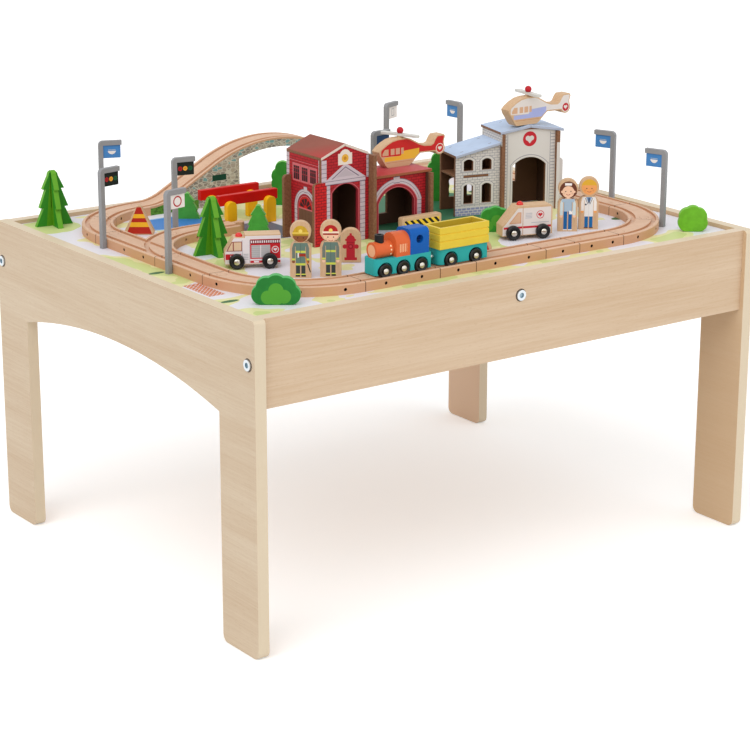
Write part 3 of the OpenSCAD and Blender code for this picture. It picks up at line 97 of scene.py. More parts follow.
class Paint:  # one material, painted in a piece's own place and turn, in mm
    def __init__(self, name, at=(0, 0, 0), turn=0):
        self.material = bpy.data.materials.new(name)
        self.material.use_nodes = True
        self.tree = self.material.node_tree
        self.shader = self.tree.nodes["Principled BSDF"]
        spin = (0, 0, math.radians(turn))
        coord = self.tree.nodes.new("ShaderNodeTexCoord")
        self.point = self.node("ShaderNodeMapping", {"vector_type": "TEXTURE"}, {
            "Vector": Sock(self, coord.outputs["Object"]), "Location": [c * 0.001 for c in at],
            "Rotation": spin, "Scale": (0.001, 0.001, 0.001)})
        facing = self.node("ShaderNodeMapping", {"vector_type": "TEXTURE"},
            {"Vector": Sock(self, coord.outputs["Normal"]), "Rotation": spin})
        self.x, self.y, self.z = self.parts(self.point)
        self.nx, self.ny, self.nz = self.parts(facing)
        self.front = self.ny < -0.6
        self.sides = abs(self.ny) > 0.6
        self.colour = None

    def node(self, kind, settings, sockets, out=0):
        made = self.tree.nodes.new(kind)
        for key, value in settings.items():
            setattr(made, key, value)
        for key, value in sockets.items():
            if isinstance(value, Sock):
                self.tree.links.new(value.socket, made.inputs[key])
            else:
                made.inputs[key].default_value = value
        return Sock(self, made.outputs[out])

    def parts(self, vector):
        return [self.node("ShaderNodeSeparateXYZ", {}, {0: vector}, i) for i in range(3)]

    def mix(self, a, b, factor):
        return self.node("ShaderNodeMix", {"data_type": "RGBA"}, {0: factor, 6: a, 7: b}, 2)

    def over(self, colour, mask):
        self.colour = self.mix(self.colour, colour, mask)

    def layers(self, on, look, *rows):  # rows of tone and mask, each over the last, inside one mask
        for tone, mask in rows:
            self.over(look[tone] if isinstance(tone, str) else tone, on & mask)

    def fit(self, value, low, high):
        return self.node("ShaderNodeMapRange", {}, {0: value, 1: low, 2: high})

    def noise(self, size, detail=2.0):
        point = self.node("ShaderNodeVectorMath", {"operation": "DIVIDE"}, {0: self.point, 1: size})
        return self.node("ShaderNodeTexNoise", {}, {"Vector": point, "Scale": 1.0, "Detail": detail})

    def brick(self, u, v, width, row, joint, one, two, mortar):
        place = self.node("ShaderNodeCombineXYZ", {}, {0: u, 1: v})
        return self.node("ShaderNodeTexBrick", {}, {
            "Vector": place, "Color1": one, "Color2": two, "Mortar": mortar, "Scale": 1.0,
            "Mortar Size": joint, "Mortar Smooth": 0.1, "Brick Width": width, "Row Height": row})

    def box(self, u, v, u0, u1, v0, v1):
        return (u > u0) & (u < u1) & (v > v0) & (v < v1)

    def reach(self, u, v, cu, cv, stretch=1.0):
        a = u - cu
        b = (v - cv) * stretch
        return (a * a + b * b) ** 0.5

    def disc(self, u, v, cu, cv, r, stretch=1.0):
        return self.reach(u, v, cu, cv, stretch) < r

    def heart(self, u, v, cu, cv, r):
        lobes = self.disc(u, v, cu - r * 0.42, cv + r * 0.2, r * 0.5)
        lobes = lobes | self.disc(u, v, cu + r * 0.42, cv + r * 0.2, r * 0.5)
        tip = (abs(u - cu) < (v - (cv - r * 0.85)) * 0.86) & (v < cv + r * 0.16)
        return lobes | tip

    def archGap(self, u, v, cu, width, height, rise):  # distance outside a doorway with a flat arch
        r = (width * width / 4 + rise * rise) / (2 * rise)
        post = abs(u - cu) - width / 2
        ring = self.reach(u, v, cu, height - r) - r
        above = v > height - rise
        return post * ~above + ring * above

    def lines(self, u, places, half=0.5):
        mask = abs(u - places[0]) < half
        for place in places[1:]:
            mask = mask | (abs(u - place) < half)
        return mask

    def done(self, rough=0.5, bump=None, depth=0.05, metal=0.0, coat=0.0, gloss=0.2):
        sockets = {"Base Color": self.colour, "Roughness": rough, "Metallic": metal, "Coat Weight": coat,
            "Specular IOR Level": gloss}
        if bump is not None:
            sockets["Normal"] = self.node("ShaderNodeBump", {},
                {"Height": bump, "Distance": depth * 0.001, "Strength": 1.0})
        for key, value in sockets.items():
            if isinstance(value, Sock):
                self.tree.links.new(value.socket, self.shader.inputs[key])
            else:
                self.shader.inputs[key].default_value = value
        return self.material


# finishes that many pieces share

boardTop = 395  # upper face of the play board, in mm
cornerTurn = -36  # trees, figures and cones look towards the near corner, in degrees
woodLook = looks(light="#dab994", dark="#c7a17c", fleck="#a87e5c")
mdfLook = looks(light="#8c6348", dark="#78523a", shade="#563c30")


def grain(p, along, look, contrast=1.0):  # beech: broad bands, fine streaks and short flecks
    def stretch(long, across):
        return [long if i == along else across for i in range(3)]
    bands = p.fit(p.noise(stretch(420, 26), 3), 0.34, 0.66)
    streaks = p.fit(p.noise(stretch(120, 2.6), 3), 0.36, 0.66)
    hairs = p.fit(p.noise(stretch(34, 1.0), 2), 0.38, 0.68)
    flecks = p.fit(p.noise(stretch(8, 0.8), 1), 0.6, 0.74)
    p.colour = p.mix(look["light"], look["dark"], (bands * 0.4 + streaks * 0.35 + hairs * 0.25) * contrast)
    p.over(look["fleck"], flecks * 0.3)
    return flecks


def printed(name, at, turn=0, along=0):  # plain wood that a print goes on
    p = Paint(name, at, turn)
    p.flecks = grain(p, along, woodLook)
    return p


def sealed(p, rough=0.46):  # clear varnish over the print
    return p.done(rough, p.flecks, -0.02)


def fibreboard(name, look):  # raw fibreboard that a print goes on
    p = Paint(name, look["at"], look["turn"])
    p.colour = p.mix(mdfLook["light"], mdfLook["dark"], p.fit(p.noise((2.5, 2.5, 2.5), 4), 0.35, 0.66))
    p.fine = p.noise((0.6, 0.6, 0.6), 2)
    return p


def matt(p, rough=0.55):  # the dry face of a printed board
    return p.done(rough, p.fine, 0.015)


def coatOf(p, colour, spread=0.05):  # sprayed paint with a faint cloud in it
    cloud = p.fit(p.noise((22, 22, 22), 3), 0.3, 0.7)
    p.colour = p.mix(shade(colour, 1 - spread), shade(colour, 1 + spread), cloud)
    return p.noise((0.9, 0.9, 0.9), 2)


def enamel(name, colour, rough=0.42, spread=0.05, coat=0.0):
    p = Paint(name)
    peel = coatOf(p, colour, spread)
    wear = p.fit(p.noise((9, 9, 9), 4), 0.35, 0.7)
    return p.done(rough + wear * 0.08, peel, 0.02, coat=coat)


# pieces

meshing = {"weld": 2e-6, "flat": 0.3, "fold": 50, "printArea": 1e-4, "weight": 90}


def islands(shape):
    left = set(shape.faces)
    found = []
    while left:
        group = [left.pop()]
        for face in group:
            for edge in face.edges:
                for other in edge.link_faces:
                    if other in left:
                        left.remove(other)
                        group.append(other)
        found.append(group)
    return found


def dress(node, materials, edge=0.0, segments=2, split=None, sharp=32, border=0.0):
    shape = bmesh.new()
    shape.from_mesh(frame["nodes"][node].data)
    bmesh.ops.remove_doubles(shape, verts=shape.verts, dist=meshing["weld"])
    if edge or border:  # flat faces become whole, so that the rounding follows true corners only
        bmesh.ops.dissolve_limit(shape, angle_limit=math.radians(meshing["flat"]), verts=shape.verts,
            edges=shape.edges, use_dissolve_boundaries=False)
    for group in islands(shape) if split else []:  # each solid takes the paint of the nearest place
        points = [v.co for face in group for v in face.verts]
        middle = [(min(c) + max(c)) * 500 for c in zip(*points)]
        near = min(range(len(split)), key=lambda i: math.dist(split[i][:2], middle[:2]))
        for face in group:
            face.material_index = near
    if border:  # the print on a flat side stops short of the bare wooden rim
        flats = [f for f in shape.faces if abs(f.normal.y) > 0.99 and f.calc_area() > meshing["printArea"]]
        for flat in flats:
            bmesh.ops.inset_region(shape, faces=[flat], thickness=border * 0.001, use_even_offset=True,
                use_boundary=True)
            flat.material_index = 1
    if edge:
        corners = [e for e in shape.edges if len(e.link_faces) == 2
                   and e.calc_face_angle(0) > math.radians(sharp)]
        bmesh.ops.bevel(shape, geom=corners, offset=edge * 0.001, offset_type="OFFSET", affect="EDGES",
            segments=segments, profile=0.5, material=-1, clamp_overlap=True)
    fold = math.radians(meshing["fold"] if edge else sharp)
    for face in shape.faces:
        face.smooth = True
    for e in shape.edges:
        e.smooth = len(e.link_faces) == 2 and e.calc_face_angle(0) < fold
    return place(shape, "finished_" + node, materials, node)


def place(shape, name, materials, node=None, body=None):
    mesh = bpy.data.meshes.new(name)
    shape.to_mesh(mesh)
    shape.free()
    piece = bpy.data.objects.new(name, mesh)
    scene.collection.objects.link(piece)
    for material in materials:
        mesh.materials.append(material)
    weighted = piece.modifiers.new("weighted", "WEIGHTED_NORMAL")
    weighted.keep_sharp = True
    weighted.weight = meshing["weight"]
    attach(piece, body or frame["nodes"][node]["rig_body"])
    if body is None:
        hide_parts(node)
    return piece


# table

# socket is a painted shade tone for the key recess in each bolt head
tableLook = looks(edge=0.7, boltR=6.5, boltGap=1.3, socketR=3.4, panelBolt=(292.5, 348), apronBolt=(0, 371),
    boltShade="#544438", boltSteel="#e0e6ea", socket="#98acb6", nutSteel="#c0c6ce")
# rim is a lighter tone painted on the narrow faces as a painted highlight; the inside and back tones are
# painted light and shade on the inner faces
apronLook = looks(light="#d9c1a5", dark="#caac8b", fleck="#b89674", rim="#e2d1ba")
panelLook = looks(light="#d5c3aa", dark="#c6ad90", fleck="#b49678", rim="#dfcfb4", inside="#cead86",
    back="#f0ceb0")


def tableWood(name, along, look, axis, bolt):
    p = Paint(name)
    flecks = grain(p, along, look)
    facing, u = (p.nx, abs(p.y)) if axis == 0 else (p.ny, p.x)
    broad = abs(facing) > 0.6
    # the narrow and top faces are painted a lighter tone, as a painted highlight
    p.over(look["rim"], ~broad * 0.8)
    if axis == 0:  # the faces turned to the inside are painted a warmer tone as painted shade, and paler towards the back as painted light
        inside = broad & ((p.x * facing) < 0)
        # painted shade and painted light on the inner faces of the table
        p.over(look["inside"], inside * 0.7)
        p.over(look["back"], inside & p.fit(p.y, 0, 240) * 0.9)
    ring = p.reach(u, p.z, *bolt)
    r = tableLook["boltR"]
    p.over(tableLook["boltShade"], broad & (ring > r - 1) & (ring < r + tableLook["boltGap"]))
    return p.done(0.46 + flecks * 0.1, flecks, -0.03)


panelWood = tableWood("panelBeech", 1, panelLook, 0, tableLook["panelBolt"])
apronWood = tableWood("apronBeech", 0, apronLook, 1, tableLook["apronBolt"])
for node in ("end_panel_left", "end_panel_right"):
    dress(node, [panelWood], tableLook["edge"], 3)
for node in ("front_apron", "back_apron"):
    dress(node, [apronWood], tableLook["edge"], 3)
dress("cross_rail", [panelWood], tableLook["edge"])
dress("board_cleats", [apronWood], tableLook["edge"])


def steel(name, colour, rough=0.3, socket=None):
    p = Paint(name)
    brushed = p.noise((0.4, 0.4, 0.4), 2)
    p.colour = p.mix(colour, shade(colour, 0.86), p.fit(brushed, 0.3, 0.7))
    if socket:  # the recess for the key is painted darker than the bolt's head, as painted shade
        r = tableLook["socketR"]
        p.over(socket, p.disc(abs(p.y), p.z, *tableLook["panelBolt"], r)
               | p.disc(p.x, p.z, *tableLook["apronBolt"], r))
    return p.done(p.fit(brushed, 0.2, 0.8) * 0.12 + rough, brushed, 0.008, metal=1.0, gloss=0.5)


dress("connecting_bolts", [steel("boltSteel", tableLook["boltSteel"], socket=tableLook["socket"])], 0.5)
dress("barrel_nuts", [steel("nutSteel", tableLook["nutSteel"])], 0.4)
print("table done")

# play board: roads, fields and a pond of our own layout

boardLook = looks(road="#e4e2e9", field="#e2dfa8", meadow="#cbd58e", lawn="#3a7654", pond="#4080c8",
    shore="#96bee2", asphalt="#686c7c", tile="#d68056", leaf="#426e46")
# tone, middle, squeeze across and radius of each soft-edged patch
boardPatches = [("road", 190, -168, 2.2, 118), ("meadow", -335, 248, 1.1, 48), ("lawn", 106, 52, 1.36, 142),
    ("shore", -192, 176, 1.7, 66), ("pond", -192, 176, 1.7, 59)]
# middle, radius and squeeze of the fallen leaves
boardLeaves = [(-344, -200, 12, 2.6), (-345, -40, 11, 2.4), (-250, -282, 14, 3), (120, -281, 12, 3),
    (300, -140, 15, 2), (250, 100, 14, 2), (-60, -190, 12, 2.4)]


def boardPaint():
    look = boardLook
    p = Paint("boardPrint")
    fine = grain(p, 0, woodLook)
    x, y = p.x, p.y
    wave = p.noise((95, 70, 60), 2)
    edge = p.noise((30, 30, 30), 2) * 14
    tiles = p.brick(x + y, x - y, 12, 6, 0.5, look["tile"], shade(look["tile"], 0.8), look["road"])
    top = p.nz > 0.6
    p.over(look["road"], top)
    p.layers(top, look, ("field", wave > 0.5), ("meadow", wave > 0.57),
        *[(tone, (p.reach(x, y, cx, cy, squeeze) + edge) < r) for tone, cx, cy, squeeze, r in boardPatches],
        ("asphalt", p.box(x, y, -142, -86, 22, 118)),
        ("road", p.box(x, y, -116, -113, 30, 110) & ((y % 14) < 8)),
        (tiles, p.box(x, y, -352, -330, -170, -110)),
        *[("leaf", p.disc(x, y, *leaf)) for leaf in boardLeaves])
    return p.done(0.5, fine, 0.01)


dress("play_board", [boardPaint()], 0.4)
print("play board done")

# railway: a loop of straights and quarter bends round its middle

# the joint tone is painted shade for the gaps between pieces, and the hole tone painted shade for the walls
# of the holes
trackLook = looks(light="#deba9e", dark="#cea688", fleck="#aa7c5c", side="#cc9872", joint="#5c3824",
    hole="#281812")
loop = {"x": 4, "y": 7, "runX": 198, "runY": 126, "bend": 116, "half": 19.4, "holeZ": 401, "holeR": 2.4,
        "frontJoints": [-194, -86, -32, 76, 130, 202], "sideJoints": [-119, -11, 133],
        "straights": [(-131, -235), (-50, -235), (30, -235), (111, -235), (174, -235), (-174, 89),
                      (318, -57), (318, 70), (-310, -73)]}


def sideHoles(p):  # the walls of the accessory holes lie inside the track, half way up, and are painted dark as painted shade
    half, bend = loop["half"], loop["bend"]
    x, y = abs(p.x - loop["x"]), abs(p.y - loop["y"])
    overX, overY = x - loop["runX"], y - loop["runY"]
    front = (abs(p.y - loop["y"] + loop["runY"] + bend) < half) & (overX < -1)
    ends = (abs(overX - bend) < half) & (overY < -1)
    corners = (overX > 0) & (overY > 0) & (abs(p.reach(overX, overY, 0, 0) - bend) < half)
    return (front | ends | corners) & (abs(p.z - loop["holeZ"]) < loop["holeR"])


def frontJoints(p):
    ends = p.lines(p.x, loop["frontJoints"]) & (p.y < -200)
    return ends | (p.lines(p.y, loop["sideJoints"]) & (abs(p.x) > 280))


def curveJoints(p):  # each bend is two pieces, which meet on its diagonal
    overX = abs(p.x - loop["x"]) - loop["runX"]
    overY = abs(p.y - loop["y"]) - loop["runY"]
    return frontJoints(p) | ((overX > 40) & (overY > 40) & (abs(overX - overY) < 0.7))


def trackPaint(name, along, joints):
    p = Paint(name)
    flecks = grain(p, along, trackLook)
    p.over(trackLook["side"], (abs(p.nz) < 0.6) * 0.75)
    # dark lines at the joints are painted shade in the narrow gaps between pieces
    p.over(trackLook["joint"], joints(p))
    # the walls of the holes are painted dark, as painted shade
    p.over(trackLook["hole"], sideHoles(p))
    return p.done(0.5 + flecks * 0.1, flecks, -0.03)


straightWood = trackPaint("straightTrack", 0, frontJoints)
sideWood = trackPaint("sideTrack", 1, frontJoints)
dress("straight_tracks", [straightWood] * 6 + [sideWood] * 3, split=loop["straights"])
dress("curved_tracks", [trackPaint("curvedTrack", 0, curveJoints)])
dress("switch_track", [sideWood])

bridgeLook = looks(stone="#7a746e", pale="#b8ac9a", blue="#78a2a2", mortar="#cac4b4", hedge="#56882e",
    plate="#104230", band=2.6, size=(7, 7, 4), top=82, crownR=200, slope=28.8, footR=75.2, footH=12)


def humpHeight(p):  # height of the running surface above the board: crown, slope and foot
    look, tilt = bridgeLook, math.radians(bridgeLook["slope"])
    away = abs(p.x - loop["x"])
    toFoot = loop["runX"] - away
    crownEnd = look["crownR"] * math.sin(tilt)
    crown = look["top"] - look["crownR"] + (look["crownR"] ** 2 - away * away) ** 0.5
    slope = look["top"] - look["crownR"] * (1 - math.cos(tilt)) - (away - crownEnd) * math.tan(tilt)
    foot = look["footH"] + look["footR"] - (look["footR"] ** 2 - toFoot * toFoot) ** 0.5
    onCrown = away < crownEnd
    onFoot = toFoot < look["footR"] * math.sin(tilt)
    return crown * onCrown + slope * (~onCrown & ~onFoot) + foot * onFoot


def bridgePaint():
    look = bridgeLook
    p = Paint("bridgePrint")
    flecks = grain(p, 0, trackLook)
    p.over(trackLook["side"], (abs(p.nz) < 0.6) * 0.6)
    z = p.z - boardTop
    spread = p.node("ShaderNodeVectorMath", {"operation": "DIVIDE"}, {0: p.point, 1: look["size"]})
    cell = p.node("ShaderNodeTexVoronoi", {}, {"Vector": spread, "Scale": 1.0}, 1)
    seam = p.node("ShaderNodeTexVoronoi", {"feature": "DISTANCE_TO_EDGE"}, {"Vector": spread, "Scale": 1.0})
    pick, hue = p.parts(cell)[:2]
    side = (abs(p.ny) > 0.7) & ((humpHeight(p) - z) > look["band"])
    hedge = (z < 12) & (p.x < -120)
    p.over(p.mix(look["stone"], look["pale"], pick), side)
    p.layers(side, look, ("blue", hue > 0.87), ("mortar", seam < 0.07), ("hedge", hedge),
        (shade(look["hedge"], 0.6), hedge & (p.noise((4, 4, 3), 2) > 0.55)),
        ("plate", p.box(p.x, z, -98, -76, 34, 42)))
    return p.done(0.52, flecks, -0.03)


bridgeWood = bridgePaint()
dress("ramp_tracks", [bridgeWood])
dress("crown_track", [bridgeWood])
dress("guard_rail_posts", [enamel("railYellow", rgb("#f6be1a"))], 0.8)
dress("guard_rail_beams", [enamel("railRed", rgb("#cc140e"))], 0.8)
print("railway done")

# train

trainLook = looks(teal="#2aa6a6", orange="#d66232", cream="#fcd6aa", blue="#0058ac", yellow="#e0c23c",
    black="#141416", boilerAt=(-171.5, -235, 427.5), boxAt=(-84.2, -235, 427.5), wheelD=17.6, outer=15.5,
    axles={"loco_wheelset_front": -161.5, "loco_wheelset_middle": -135.5, "loco_wheelset_rear": -109.5,
           "wagon_wheelset_front": -65.7, "wagon_wheelset_rear": -28.7},
    axleZ=413.1, y=-235.0)

teal = enamel("chassisTeal", trainLook["teal"])
dress("loco_chassis", [teal], 0.7)
dress("wagon_chassis", [teal], 0.7)


def boilerPaint():
    p = Paint("boilerOrange", trainLook["boilerAt"])
    peel = coatOf(p, trainLook["orange"])
    x, z, cream = p.x, p.z, trainLook["cream"]
    p.over(shade(trainLook["orange"], 0.8), abs(x - 25) < 0.9)
    p.over(cream, (p.nx < -0.6) & p.disc(p.y, z, 0, 8.5, 7.2) * 0.55)
    for level in (4, 9, 13.4):  # rivets
        p.over(cream, p.disc(x, z, 21.5, level, 1.1))
    p.over(cream, p.box(x, z, 31, 41.2, 5, 14.5) & ((x % 2.4) < 0.8) & p.sides)
    return p.done(0.4, peel, 0.02)


dress("loco_boiler", [boilerPaint()], 0.8)
dress("loco_cab", [enamel("cabBlue", trainLook["blue"])], 0.9)
dress("loco_chimney", [enamel("chimneyBlack", trainLook["black"])], 0.5)
magnetSteel = steel("magnetSteel", rgb("#ceccc8"), 0.18)
dress("loco_magnet", [magnetSteel], 0.6)
dress("wagon_magnets", [magnetSteel], 0.6)


def boxPaint():
    p = Paint("boxYellow", trainLook["boxAt"])
    yellow = trainLook["yellow"]
    peel = coatOf(p, yellow)
    inside = (p.z > 4.5) & (abs(p.y) < 12.2) & (p.x > 3.8) & (p.x < 70.2)
    # the inner faces of the box are painted darker, as painted shade
    p.over(shade(yellow, 0.72), inside)
    for level in (8.84, 17.42):  # gaps between the planks, painted lighter as painted light against their shade
        p.over(shade(yellow, 1.2), (p.z > level - 0.1) & (p.z < level + 1.3) & ~inside)
    return p.done(0.42, peel, 0.02)


dress("wagon_box", [boxPaint()], 0.35)

wheelLook = looks(tyre="#0e0e0f", steel="#d6d0c4", hub=0.42, dome=1.6, sink=1.2, rings=6, sides=28)


def wheelPaint():
    p = Paint("wheelBlack")
    peel = coatOf(p, wheelLook["tyre"], 0.1)
    return p.done(0.36, peel, 0.02, gloss=0.35)


tyre = wheelPaint()
hubSteel = steel("hubSteel", wheelLook["steel"], 0.16)


def hubCaps(node, centre, turn, wheelD, outer):  # domed steel caps on both ends of an axle
    shape = bmesh.new()
    r = wheelD * wheelLook["hub"] / 2 * 0.001
    rise = wheelLook["dome"] * 0.001
    quarter = [i * math.pi / 2 / wheelLook["rings"] for i in range(wheelLook["rings"] + 1)]
    chain = [shape.verts.new((r, 0, -wheelLook["sink"] * 0.001))]
    chain += [shape.verts.new((r * math.cos(a), 0, rise * math.sin(a))) for a in quarter]
    wires = [shape.edges.new(pair) for pair in zip(chain, chain[1:])]
    bmesh.ops.spin(shape, geom=wires + chain, cent=(0, 0, 0), axis=(0, 0, 1), angle=math.tau,
        steps=wheelLook["sides"], use_merge=True)
    bmesh.ops.remove_doubles(shape, verts=shape.verts, dist=1e-6)
    bmesh.ops.holes_fill(shape, edges=shape.edges, sides=64)
    bmesh.ops.recalc_face_normals(shape, faces=shape.faces)
    bmesh.ops.translate(shape, verts=shape.verts, vec=(0, 0, outer * 0.001))
    other = bmesh.ops.duplicate(shape, geom=shape.faces)["geom"]
    others = [v for v in other if isinstance(v, bmesh.types.BMVert)]
    for verts, angle, axis in ((others, 180, "X"), (shape.verts, 90, "X"), (shape.verts, turn, "Z")):
        matrix = Matrix.Rotation(math.radians(angle), 3, axis)
        bmesh.ops.rotate(shape, verts=verts, cent=(0, 0, 0), matrix=matrix)
    bmesh.ops.translate(shape, verts=shape.verts, vec=[c * 0.001 for c in centre])
    for face in shape.faces:
        face.smooth = True
    caps = place(shape, "hub_caps_" + node, [hubSteel], body=frame["nodes"][node]["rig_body"])


for node, axleX in trainLook["axles"].items():
    dress(node, [tyre], 0.35)
    hubCaps(node, (axleX, trainLook["y"], trainLook["axleZ"]), 0, trainLook["wheelD"], trainLook["outer"])
print("train done")

# road vehicles

truckLook = looks(at=(-234.01, -77.94, 400), turn=-28, axle=19.75, red="#c4222c", white="#e6dee0",
    grey="#bab8ba", dark="#781422", slat=shade(rgb("#bab8ba"), 0.72), frame="#96544c", glass="#dec0a0",
    seam="#a0969c")
ambulanceLook = looks(at=(128.03, -150.06, 400), turn=-18, axle=20.0, white="#e0d7d2", red="#c42c38",
    grey="#b0b0b8", frame="#d09678", glass="#d6b092", seam="#c6a086")
carWheels = {"axleZ": 404.55, "wheelD": 18.5, "outer": 17.3}


def truckPaint():
    p = printed("truckPrint", truckLook["at"], truckLook["turn"])
    x, z = p.x, p.z
    locker = p.box(x, z, -2, 20.5, 8, 23.4)
    rake = (z - 14) * 0.52  # slope of the windscreen
    fore = ((x + 32) > rake) & (x < -24.2)
    p.layers(p.sides, truckLook, ("white", (z > 1) & (z < 34.8)),
        ("red", p.box(x, z, -3.5, 32.6, 6.6, 30.6)), ("dark", p.box(x, z, -3.5, 32.6, 25, 30)),
        ("white", p.box(x, z, -2.5, 32, 26, 29) & ((x % 2.6) < 1.5)), ("grey", locker),
        ("slat", locker & ((z % 2.4) < 0.45)), ("white", p.box(x, z, 8.6, 9.6, 8, 23.4)),
        ("white", p.disc(x, z, 26.6, 17.5, 4.3)), ("red", p.disc(x, z, 26.6, 17.5, 3.4)),
        ("white", p.heart(x, z, 26.6, 17.5, 2.4)), ("red", p.box(x, z, -33, -14.4, 6.2, 13.2)),
        ("white", p.box(x, z, -27.4, -21, 8, 11.4)), ("red", p.box(x, z, -3.5, 32.6, 1.6, 4.6)),
        ("white", p.box(x, z, 1, 7, 2.1, 4.1)),
        ("frame", (z > 16.4) & (z < 28.4) & (x < -13) & ((x + 33.4) > rake)),
        ("glass", (z > 17.4) & (z < 27.4) & (fore | p.box(x, z, -22.8, -14, 0, 40))),
        ("seam", p.lines(x, [-12.9, -4.2], 0.25) & (z > 1.5) & (z < 30)),
        ("grey", p.box(x, z, -11.6, -5.4, 6, 14) & ((z % 2) < 1.1)))
    p.layers(p.nx < -0.5, truckLook, ("red", p.box(p.y, z, -9, 9, 3, 11)),
        ("white", p.lines(p.y, [-6, 6], 1.6) & (z > 5) & (z < 9)))
    return sealed(p, 0.44)


def ambulancePaint():
    p = printed("ambulancePrint", ambulanceLook["at"], ambulanceLook["turn"])
    x, z = p.x, p.z
    rake = (z - 13.5) * 0.84
    pane = (z > 15.6) & (z < 30) & (x < -8.6) & ((x + 27) > rake)
    p.layers(p.sides, ambulanceLook, ("white", (z > 1) & (z < 35) & (x < 31.6) & ((x + 31.2) > rake)),
        ("red", p.box(x, z, -32, 31.6, 9, 11.8)), ("frame", pane),
        ("glass", pane & (z > 16.6) & (z < 29) & (x < -9.8) & ((x + 25.6) > rake)),
        ("seam", p.lines(x, [-6.4], 0.5)), ("grey", p.box(x, z, -3, 6, 21.5, 29) & ((z % 1.8) < 0.8)),
        ("red", p.disc(x, z, 17, 25.5, 5.2)), ("white", p.disc(x, z, 17, 25.5, 4.3)),
        ("red", p.heart(x, z, 17, 25.3, 3.3)), ("grey", p.box(x, z, 5, 29, 15.4, 16.2)))
    return sealed(p, 0.44)


dress("fire_truck_body", [truckPaint()], 1.0)
lamp = enamel("lampRed", rgb("#d62822"), 0.22, coat=0.4)
dress("fire_truck_beacon", [lamp])
dress("ambulance_beacon", [lamp])
dress("ambulance_body", [ambulancePaint()], 1.0)
for name, look in (("fire_truck", truckLook), ("ambulance", ambulanceLook)):
    for end, way in (("front", -1), ("rear", 1)):
        node = name + "_wheelset_" + end
        turn = math.radians(look["turn"])
        dress(node, [tyre], 0.4)
        centre = (look["at"][0] + way * look["axle"] * math.cos(turn),
            look["at"][1] + way * look["axle"] * math.sin(turn), carWheels["axleZ"])
        hubCaps(node, centre, look["turn"], carWheels["wheelD"], carWheels["outer"])
print("road vehicles done")

# helicopters

heliLook = looks(glass="#d6aa88", skid="#c48c68", tail=(97.5, 17.0), border=1.7,
    panes=[(5.5, 15), (18.5, 24.5), (26.5, 33), (35, 39)])
redHeli = looks(at=(7.14, 3.94, 471.5), upper="#cc2624", lower="#eeba3a", badge="#cc2624", ring="#f0e2d6")
whiteHeli = looks(at=(195.88, -23.89, 510), upper="#e2dad4", lower="#a8b0de", badge="#be222c",
    ring="#e2dad4")


def heliPaint(name, look):
    p = printed(name, look["at"])
    x, z, tail = p.x, p.z, heliLook["tail"]
    panel = (z > 8.6) & (z < 21 + (x - 60) * 0.05) & ((x - 18) > (16 - z) * 2.1) & (x < 64)
    nose = (x - 3) > (z - 16) * 0.75
    p.layers(p.sides, {**heliLook, **look}, ("upper", (z > 15.5 - (x - 4) * 0.05) & (x > 3.5)),
        ("lower", panel & ((x - 34) > (z - 14) * 0.6) | p.box(x, z, 9, 58, 8.6, 14.2)),
        ("skid", (abs(z - 6.5) < 0.4) & (x > 12) & (x < 52)),
        *[("glass", p.box(x, z, x0, x1, 16.5, 24.4) & nose) for x0, x1 in heliLook["panes"]],
        ("ring", p.disc(x, z, *tail, 6.4)), ("badge", p.disc(x, z, *tail, 5.4)),
        ("ring", p.heart(x, z, *tail, 3.4)))
    return sealed(p)


heliWood = sealed(printed("heliWood", (0, 0, 0)), 0.5)
rotorGrey = enamel("rotorGrey", rgb("#d4d2cc"))
for tone, look in (("red", redHeli), ("white", whiteHeli)):
    paint = heliPaint("heli%sPrint" % tone.capitalize(), look)
    dress(tone + "_helicopter_body", [heliWood, paint], 0.9, border=heliLook["border"])
    dress(tone + "_helicopter_rotor", [rotorGrey], 0.6)
dress("rotor_caps", [enamel("capRed", rgb("#be1e2a"), 0.3)])
print("helicopters done")

# fire station

# an arch is its middle, width, height and rise, a blush its colour, run along and across, from and to
stationLook = looks(at=(-109.86, -44.06, boardTop), turn=0, brick="#b8222a", bright="#ce2022",
    joint="#740e1a", stone="#ccbcc4", stoneLine="#7a6a7a", rim="#9e2a36", pink="#ce686e", niche="#e8dace",
    dark="#361c20", door="#704c3c", gold="#e6ac3e", amber="#c48428", towerTop="#8c4c3c",
    towerEdge="#decec2", garageTop="#bc5c62", garageEdge="#9c583c",
    doorArch=(36, 39, 75, 10.14), gateArch=(123, 56, 58, 19.04), sideArch=(35, 30, 57, 14.9),
    towerBlush=(rgb("#b0322c"), -1, -0.6, -42, 0), garageBlush=(rgb("#bc2222"), -1, 0, -150, -85))
gateTrim = {"inner": 4.6, "middle": 7.6, "outer": 11.2, "spring": 40, "key": (118.2, 127.8, 61.6, 72.2),
    "keyLines": [64, 71.8], "half": 0.5}
doorTrim = {"inner": 3.4, "middle": 6.4, "outer": 9.2, "spring": 43, "key": (31.4, 38.6, 60.4, 70),
    "keyLines": [62.4, 69.6], "half": 0.45}


def bricks(p, u, v, tone="brick"):
    look = stationLook
    return p.brick(u, v, 7.5, 3.6, 0.34, look[tone], shade(look[tone], 0.86), look["joint"])


def blocks(p, u, v):
    look = stationLook
    return p.brick(u, v, 60, 5.4, 0.35, look["stone"], shade(look["stone"], 0.9), look["stoneLine"])


def archTrim(p, wall, u, v, gap, trim):  # posts and ring of stone, keystone and rim round an arch
    ring = (gap > trim["inner"]) & (gap < trim["outer"])
    above = v > trim["spring"]
    key = p.box(u, v, *trim["key"])
    rounds = (abs(gap - trim["middle"]) < 0.3) | (abs(gap - trim["outer"]) < 0.4)
    p.layers(wall, stationLook, (blocks(p, u, v), ring), ("stone", ring & above),
        ("stoneLine", above & rounds), ("stone", key),
        ("stoneLine", key & p.lines(v, trim["keyLines"], trim["half"])), ("rim", gap < trim["inner"]))


